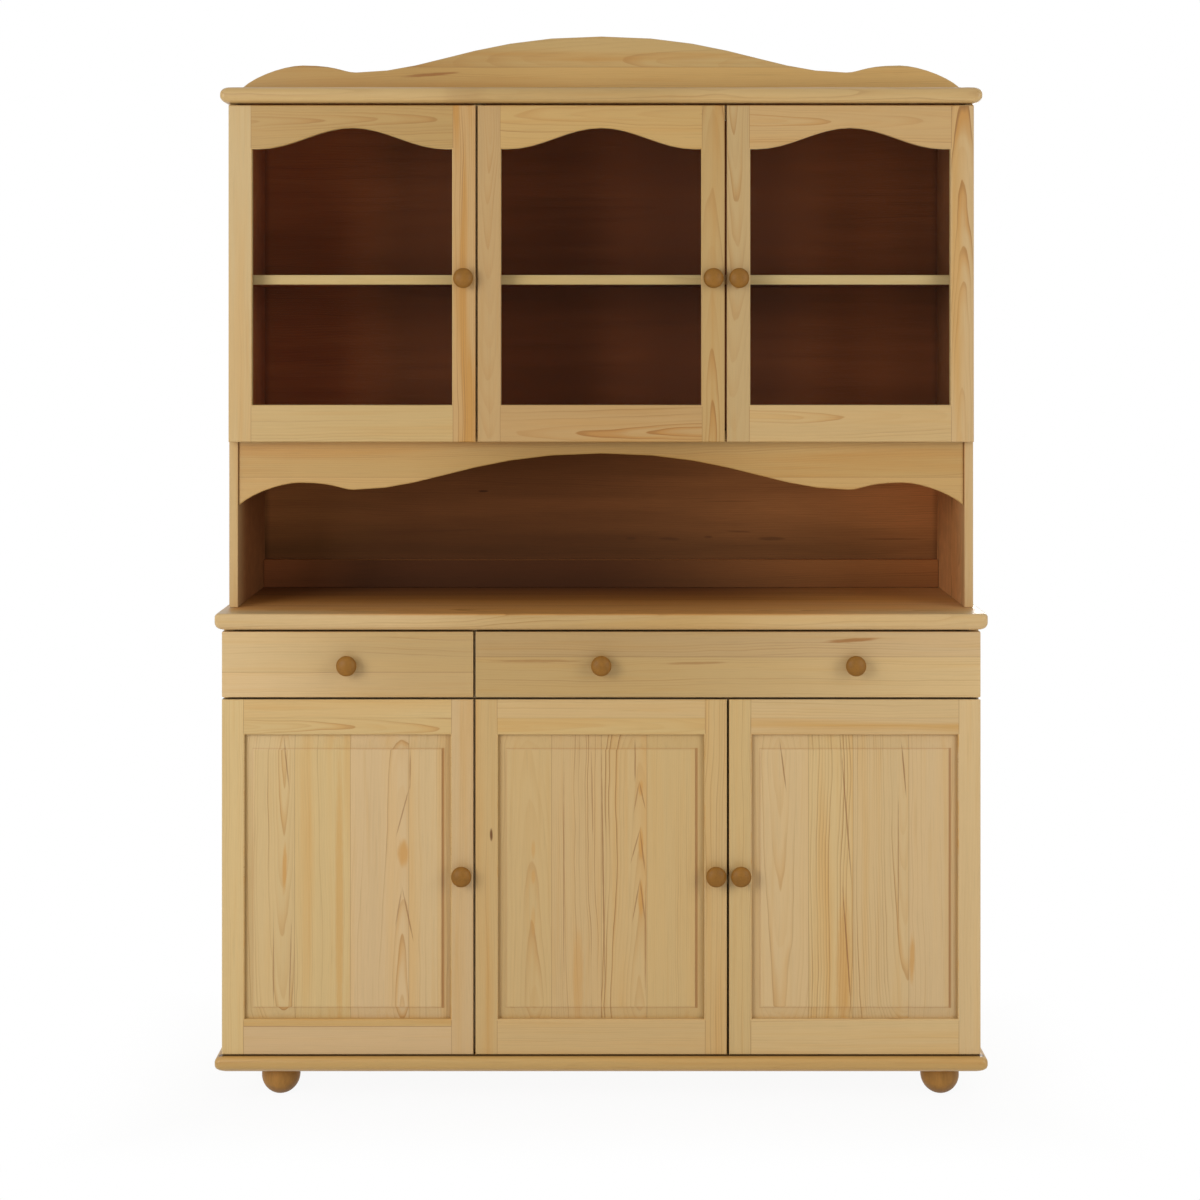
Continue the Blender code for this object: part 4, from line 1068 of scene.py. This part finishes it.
def stain_and_shade_inner_face(f, place, node):
    """Stain on the inner face of a side, which grows from its front edge as painted shade deeper in the hutch."""
    low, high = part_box(node)
    x, y, z = place
    inner = min(abs(low.x), abs(high.x))
    niche, cupboard = RIGHT_WALL if low.x > 0 else LEFT_WALL
    face = 1 - (abs(x) - inner).rise(*WALL_ARRIS)
    strength = over_niche(z).lift(niche, cupboard - niche)
    return hutch_stain_and_shade(f, place), face * (y - low.y).rise(*WALL_FRONT) * strength


def stain_and_shade_worktop(f, place, node):
    """Stain and painted shade inside the niche: it fades to the front, and it is paler to the right, as painted
    light.
    """
    low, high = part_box(node)
    side_low, side_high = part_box("hutch_side_right")
    x, y, z = place
    depth = y.rise(side_low.y - STAIN_BEFORE, high.y - STAIN_BEHIND)
    pale = x.rise(*WORKTOP_PALE)
    dye_and_shade = f.blend(WORKTOP_FRONT_AMBER, WORKTOP_STAIN_IN_SHADE, depth * pale.lift(*BACK_DEEP))
    dye_and_shade = f.scaled(dye_and_shade, pale.lift(*WORKTOP_PALE_TONE))
    top = (z - high.z).rise(*WORKTOP_ARRIS) * (1 - abs(x).rise(side_low.x, side_high.x))
    bare = abs(x).rise(*WORKTOP_BARE) * (1 - (y - low.y).rise(*BARE_DEPTH))
    strength = depth.lift(*WORKTOP_STRENGTH).least(MOST_STRENGTH)
    strength = strength * (1 - pale * PALE_WEAKER) * (1 - x.rise(*WORKTOP_END) * END_WEAKER)
    return dye_and_shade, top * (1 - bare) * strength


# Studio


def area_light(name, spot, size, power):
    lamp = bpy.data.lights.new(name, "AREA")
    lamp.shape = "RECTANGLE"
    lamp.size, lamp.size_y = size
    lamp.energy = power
    made = placed(name, lamp)
    made.location = spot
    made.rotation_euler = (Vector(LIGHT_AIM) - Vector(spot)).to_track_quat("-Z", "Y").to_euler()
    made.visible_camera = False


def seen_rays(f):
    """1 for rays that show the background: to the camera, in a reflection or through glass."""
    kinds = ("Is Camera Ray", "Is Glossy Ray", "Is Transmission Ray")
    camera, glossy, through = [f.node("LightPath", output=kind) for kind in kinds]
    return camera.most(glossy).most(through)


class WorldFinish(Finish):
    def __init__(self, world):
        world.use_nodes = True
        self.tree = world.node_tree
        self.tree.nodes.clear()


def build_studio():
    scene = bpy.context.scene
    world = bpy.data.worlds.new("studio")
    scene.world = world
    f = WorldFinish(world)
    level = seen_rays(f).lift(AMBIENT, 1 - AMBIENT)
    glow = f.node("Background", {}, {"Color": WHITE, "Strength": level})
    f.node("OutputWorld", {}, {"Surface": glow})

    floor = Finish("pale_floor")
    x, y, z = floor.place()
    bare = floor.node("BsdfDiffuse", {}, {"Color": FLOOR_COLOUR})
    white = floor.node("Emission", {}, {"Color": WHITE, "Strength": 1.0})
    corner = CAD_BOX[1]
    beside = (abs(x) - corner.x).most(abs(y) - corner.y)
    away = beside.rise(*FLOOR_WHITE).lift(FLOOR_LEAST_WHITE, 1 - FLOOR_LEAST_WHITE)
    shaded = floor.node("BsdfDiffuse", {}, {"Color": WHITE})
    shown = floor.node("MixShader", {}, {0: away, 1: shaded, 2: white})
    floor.output(floor.node("MixShader", {}, {0: seen_rays(floor), 1: bare, 2: shown}))
    bm = bmesh.new()
    bmesh.ops.create_grid(bm, x_segments=FLOOR_SEGMENTS, y_segments=FLOOR_SEGMENTS, size=FLOOR_REACH)
    mesh = bpy.data.meshes.new("floor")
    bm.to_mesh(mesh)
    bm.free()
    mesh.materials.append(floor.material)
    placed("floor", mesh)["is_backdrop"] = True

    area_light("key", KEY_PLACE, KEY_SIZE, KEY_POWER)
    area_light("fill", FILL_PLACE, FILL_SIZE, FILL_POWER)
    area_light("rear", REAR_PLACE, REAR_SIZE, REAR_POWER)

    lens = bpy.data.cameras.new("camera")
    lens.lens = LENS
    lens.sensor_width = SENSOR
    lens.shift_y = LENS_SHIFT
    camera = placed("camera", lens)
    camera.location = EYE
    camera.rotation_euler = (math.radians(90), 0, 0)
    scene.camera = camera
    scene.view_settings.view_transform = "Standard"


# Boards that are given, not drawn by lot: where each one ends, where the heart of its log lies, and
# its tone
# A given light or honey tone on a board is partly painted light and shade
STRIPS = {
    "base_door_left_panel": [
        dict(to=-0.556, heart=-0.573, lean=-0.05, lines=1.0, pink=0.3),
        dict(to=-0.455, heart=-0.8, lines=0.5, warm=0.6, pink=0.1),
        dict(to=-0.349, heart=-0.361, lean=0.055, lines=0.45, pink=0.9),
        dict(heart=0.1, lines=0.4, pink=0.7),
    ],
    "base_door_centre_panel": [
        dict(to=-0.09, heart=-0.126, lean=0.05, lines=0.4, pink=0.3),
        dict(to=0.0, heart=-0.4, lines=1.0, pink=0.6),
        dict(to=0.083, heart=0.07, lean=0.045, lines=2.6, warm=0.5, pink=0.4),
        dict(heart=0.45, lines=0.35, pink=0.2),
    ],
    "base_door_right_panel": [
        dict(to=0.376, heart=0.323, lean=-0.04, lines=0.5, pink=0.7),
        dict(to=0.457, heart=0.1, lines=1.0, warm=0.8, pink=0.3),
        dict(to=0.558, heart=0.548, lean=-0.05, lines=1.2, pink=0.6),
        dict(heart=0.9, lines=0.35, pink=0.8),
    ],
    "drawer_left_front": [
        dict(to=0.7826, heart=0.95, lines=0.25, pink=0.8, light=1.08),
        dict(heart=1.0, lines=0.25, pink=0.6, light=1.02),
    ],
    "drawer_right_front": [
        dict(to=0.8104, heart=0.64, lines=0.45, pink=0.5, light=1.04),
        dict(heart=1.05, lines=0.45, pink=0.9, light=0.97),
    ],
    "crest": [
        dict(to=1.894, heart=1.7, lines=0.25, warm=0.5, pink=0.0, honey_and_shade=1.0, light=1.11),
        dict(heart=1.903, lines=0.3, warm=0.9, pink=0.0, light=0.95),
    ],
    "valance": [
        dict(to=1.1305, heart=1.0, lines=0.3, pink=0.4),
        dict(heart=1.3, lines=0.4, warm=0.6, pink=0.2, light=0.94),
    ],
    # The shelf's paler front strip is painted light at its front edge
    "hutch_shelf": [dict(to=-0.072, heart=-0.3, lines=0.2, light=1.22, honey_and_shade=0.22), {}],
    "hutch_back_rail": [dict(heart=1.15, lines=0.2)],
    "hutch_back": [
        dict(to=1.03, heart=0.8, lines=0.12), dict(to=1.13, heart=1.3, lines=0.15),
        dict(to=1.23, heart=1.0, lines=0.15), dict(to=1.33, heart=1.15, lines=0.2),
        dict(to=1.43, heart=1.7, lines=0.2), dict(to=1.53, heart=1.25, lines=0.3),
        dict(to=1.63, heart=1.9, lines=0.2), dict(to=1.73, heart=1.45, lines=0.3),
        dict(heart=2.0, lines=0.2),
    ],
    "base_board": [
        dict(to=-0.118, heart=-0.4, lines=0.4, pink=0.0, light=0.98), dict(to=-0.02), dict(to=0.08),
        dict(to=0.17), {},
    ],
}
# Given boards of each door frame; a given light or honey tone is partly painted light and shade
FRAME_BOARDS = {
    "hutch_door_left_frame": {
        "stile_left": dict(lines=0.15, heart=-0.9, honey_and_shade=0.1, light=0.9),
        "rail_top": dict(heart=1.79, lean=0.035, lines=0.45, honey_and_shade=1.0, light=0.87),
        "rail_low": dict(lines=0.3, light=0.93),
        "stile_right": dict(heart=-0.45, lines=1.0, warm=2.4, honey_and_shade=1.0),
    },
    "hutch_door_centre_frame": {
        "rail_top": dict(heart=1.8, lean=-0.04, lines=0.5, honey_and_shade=0.9),
        "rail_low": dict(heart=1.215, lean=-0.05, lines=0.7, honey_and_shade=1.0, light=0.93),
        "stile_left": dict(lines=0.2, pink=0.8, honey_and_shade=0.8, light=0.91),
        "stile_right": dict(heart=0.205, lean=0.05, lines=0.9, warm=0.6, honey_and_shade=0.75, light=0.9),
    },
    "hutch_door_right_frame": {
        "rail_top": dict(heart=1.785, lean=0.05, lines=0.45, honey_and_shade=0.8),
        "stile_left": dict(lines=0.3, honey_and_shade=0.4, light=0.86),
        "stile_right": dict(heart=0.665, lean=0.05, lines=1.0, warm=0.8),
    },
    "base_door_left_frame": {
        "stile_left": dict(heart=-0.95, lines=0.25, pink=0.1, light=1.03),
        "stile_right": dict(heart=-0.5, lines=0.2, honey_and_shade=0.25, light=0.97),
        "rail_top": dict(lines=0.2, heart=1.1),
        "rail_lip": dict(heart=0.685, lean=0.05, lines=1.0, warm=0.5),
        "rail_low": dict(heart=0.4, lines=0.15, pink=1.0),
        "rail_foot": dict(heart=0.3, lines=0.2, warm=0.8, pink=0.0, honey_and_shade=0.5),
    },
    "base_door_centre_frame": {
        "rail_lip": dict(lines=0.2, warm=0.9, pink=0.0),
        "rail_top": dict(heart=1.0, lines=0.2),
        "rail_low": dict(heart=0.4, lines=0.2, pink=0.4),
        "stile_left": dict(heart=-0.5, lines=0.3, warm=0.6, honey_and_shade=0.5),
        "stile_right": dict(heart=0.4, lines=0.8, honey_and_shade=0.45),
    },
    "base_door_right_frame": {
        "rail_lip": dict(lines=0.3, warm=1.0),
        "rail_low": dict(heart=0.45, lines=0.4),
        "stile_left": dict(heart=0.55, lines=0.4, honey_and_shade=0.25, light=0.97),
        "stile_right": dict(heart=0.95, lines=0.2, light=1.03),
    },
}

# Resin streaks, flames and lines of the grain by their colour: strength, (along, across) of the middle,
# reach along the grain, half width and tilt
STREAKS = {
    "crest": {AMBER_AND_EDGE_SHADE: [(0.9, (-0.318, 1.88), 0.062, 0.004, 0.075)]},
    "top_board": {RESIN_AND_RECESS_SHADE: [(0.16, (-0.25, -0.145), 0.045, 0.015, 0.0)]},
    "drawer_right_front": {
        AMBER_AND_EDGE_SHADE: [
            (0.85, (0.456, 0.8406), 0.06, 0.0046, 0.06), (0.5, (0.17, 0.799), 0.07, 0.003, 0.02),
            (0.45, (-0.115, 0.803), 0.1, 0.0035, 0.0),
        ],
    },
    "base_door_centre_frame": {BARK: [(1.0, (0.488, -0.1994), 0.0145, 0.0034, 0.0)]},
    "base_door_left_panel": {
        HEART_WOOD_AND_HALF_SHADE: [(0.75, (0.36, -0.475), 0.33, 0.009, 0.0)],
        FLAME: [(0.8, (0.454, -0.359), 0.03, 0.0125, 0.0), (0.8, (0.425, -0.5745), 0.055, 0.005, 0.02)],
        RESIN_AND_RECESS_SHADE: [
            (0.61, (0.343, -0.3508), 0.056, 0.0018, -0.21),
            (0.49, (0.355, -0.3675), 0.04, 0.0017, 0.17), (0.57, (0.53, -0.3597), 0.055, 0.0017, 0.27),
            (0.53, (0.607, -0.3465), 0.042, 0.0017, 0.0), (0.61, (0.617, -0.571), 0.055, 0.0017, -0.11),
            (0.53, (0.25, -0.5945), 0.09, 0.0017, 0.0), (0.57, (0.25, -0.564), 0.09, 0.0017, 0.03),
        ],
    },
    "base_door_right_panel": {
        FLAME: [(0.55, (0.25, 0.44), 0.15, 0.017, 0.0), (0.75, (0.262, 0.564), 0.055, 0.006, 0.02)],
        RESIN_AND_RECESS_SHADE: [
            (0.66, (0.52, 0.445), 0.16, 0.0018, -0.079), (0.74, (0.284, 0.4455), 0.145, 0.0018, -0.07),
            (0.74, (0.606, 0.549), 0.058, 0.0018, -0.088), (0.53, (0.438, 0.539), 0.15, 0.0017, 0.0),
            (0.7, (0.611, 0.33), 0.054, 0.0017, -0.13),
        ],
    },
    "base_door_centre_panel": {
        FLAME: [
            (0.45, (0.23, -0.042), 0.11, 0.012, 0.0), (0.7, (0.572, 0.072), 0.018, 0.006, 0.0),
            (0.85, (0.47, 0.072), 0.036, 0.006, 0.0), (0.85, (0.372, 0.072), 0.042, 0.006, 0.0),
            (0.5, (0.461, -0.1232), 0.02, 0.0046, 0.0), (0.5, (0.411, -0.1232), 0.016, 0.0046, 0.0),
            (0.4, (0.33, -0.1232), 0.035, 0.005, 0.0),
        ],
        RESIN_AND_RECESS_SHADE: [
            (0.57, (0.56, 0.0743), 0.03, 0.0016, -0.22), (0.49, (0.556, 0.064), 0.032, 0.0016, 0.17),
            (0.61, (0.457, 0.0751), 0.046, 0.0017, -0.12), (0.57, (0.468, 0.0622), 0.036, 0.0017, 0.28),
            (0.61, (0.368, 0.0751), 0.046, 0.0017, -0.12), (0.57, (0.368, 0.0635), 0.046, 0.0017, 0.18),
            (0.53, (0.42, -0.0678), 0.24, 0.0016, 0.0), (0.53, (0.56, -0.0165), 0.1, 0.0016, -0.02),
            (0.7, (0.42, 0.0035), 0.26, 0.0018, -0.014), (0.66, (0.62, 0.0615), 0.048, 0.0017, 0.0),
            (0.61, (0.3, 0.08), 0.12, 0.0017, 0.0),
        ],
    },
    "hutch_back": {
        RESIN_AND_RECESS_SHADE: [
            (0.7, (-0.235, 1.0805), 0.013, 0.0026, 0.0), (0.35, (0.34, 0.9855), 0.034, 0.005, 0.0),
            (0.3, (0.136, 0.9855), 0.027, 0.0042, -0.06), (0.3, (0.06, 0.986), 0.014, 0.0036, 0.0),
            (0.35, (0.214, 0.9885), 0.012, 0.003, 0.0), (0.3, (0.275, 0.9998), 0.032, 0.0022, -0.04),
            (0.25, (0.58, 0.985), 0.085, 0.0026, 0.0), (0.2, (0.26, 1.06), 0.07, 0.002, 0.0),
            (0.2, (-0.29, 1.002), 0.09, 0.0026, 0.03),
        ],
    },
}

# Painted shade along x, as a deeper tone: the middle of it, half its width, how far it fades beyond, and its
# strength
DEEPER_SHADE = {
    "drawer_left_front": (-0.20, 0.12, 0.42, 0.9),
    "drawer_right_front": (-0.60, 0.60, 0.80, 1.0),
    "top_board": (-0.06, 0.14, 0.15, 0.5),
    "hutch_shelf": (0.0, 0.12, 0.20, 0.25),
    "worktop": (0.0, 0.10, 0.30, 0.6),
    "valance": (0.0, 0.08, 0.30, 1.0),
    "crest": (-0.70, 0.30, 0.40, 0.65),
}

# How deep a honey tone each board has, partly painted shade, and where it is stained and shaded
LEVEL_BOARDS = {
    "base_board": (1.0, None), "drawer_board": (0.0, None), "base_shelf": (0.0, None),
    "worktop": (0.15, stain_and_shade_worktop), "top_board": (0.50, None),
    "hutch_bottom": (0.0, stain_and_shade_behind_front), "hutch_shelf": (0.0, stain_and_shade_behind_front),
}
UPRIGHT_BOARDS = {
    "base_side_left": (0.1, None), "base_side_right": (0.1, None), "base_partition": (0.0, None),
    "hutch_side_left": (0.3, stain_and_shade_inner_face), "hutch_side_right": (0.3, stain_and_shade_inner_face),
    "hutch_partition": (0.0, stain_and_shade_behind_front),
}
LONG_BOARDS = {
    "crest": (0.60, None), "valance": (1.0, None), "base_back": (0.0, None),
    "hutch_back": (0.0, stain_and_shade_back), "hutch_back_rail": (0.0, stain_and_shade_rail),
    "drawer_left_front": (0.05, None), "drawer_right_front": (0.10, None),
}
# Honey tone of each door's stiles, rails and panel, deepest on the centre door as painted shade, and the height of
# a second board in its low rail
PANEL_DOORS = {
    "left": (0.05, 0.2, 0.05, 0.011), "centre": (0.25, 0.35, 0.33, 0.0), "right": (0.1, 0.2, 0.05, 0.0),
}
# Honey tone of each glazed door's stiles and rails, partly painted shade
GLAZED_DOORS = {"left": (0.25, 0.45), "centre": (0.40, 0.75), "right": (0.40, 0.45)}


def dress_carcass(shading):
    sawn_as = ((LEVEL_BOARDS, "x", "y"), (UPRIGHT_BOARDS, "z", "y"), (LONG_BOARDS, "x", "z"))
    for boards, grain, across in sawn_as:
        for node, (honey_and_shade, stain_and_shade) in boards.items():
            marks = panel_pins if node.endswith("_back") else None
            if node in DEEPER_SHADE:
                marks = painted_deeper_shade
            if node == "base_board":
                marks = shade_under_doors
            dress(node, plank(node, grain, across, honey_and_shade, stain_and_shade, marks), shading)
    for node in ("drawer_left_box", "drawer_right_box"):
        dress(node, drawer_tray(node), shading)


def dress_doors(shading, glass):
    for word, (stiles, rails, panel, foot) in PANEL_DOORS.items():
        node = "base_door_{}_frame".format(word)
        dress(node, door_frame(node, stiles, rails, RAIL_LIP, foot), shading)
        node = "base_door_{}_panel".format(word)
        dress(node, plank(node, "z", "x", panel, marks=painted_panel_shade), shading)
    for word, (stiles, rails) in GLAZED_DOORS.items():
        node = "hutch_door_{}_frame".format(word)
        dress(node, door_frame(node, stiles, rails), shading)
        pane = NODES["hutch_door_{}_pane".format(word)]
        pane.data.materials.clear()
        pane.data.materials.append(glass)


def main():
    shading = soft_shading()
    dress_carcass(shading)
    dress_doors(shading, pane_glass())
    steel = hinge_steel()
    for node in NODES:
        if "_hinge_" in node:
            dress(node, steel, shading)
    build_knobs(turned_wood("knob_wood", KNOB_WOOD, 1))
    build_feet(turned_wood("foot_pine", FOOT_WOOD, 2, painted_shade=True))
    build_hinge_fittings(steel)
    build_glazing_beads()
    build_studio()


main()

boxes = {"cad": CAD_BOX, "visual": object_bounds()}
{key: [list(corner) for corner in box] for key, box in boxes.items()}
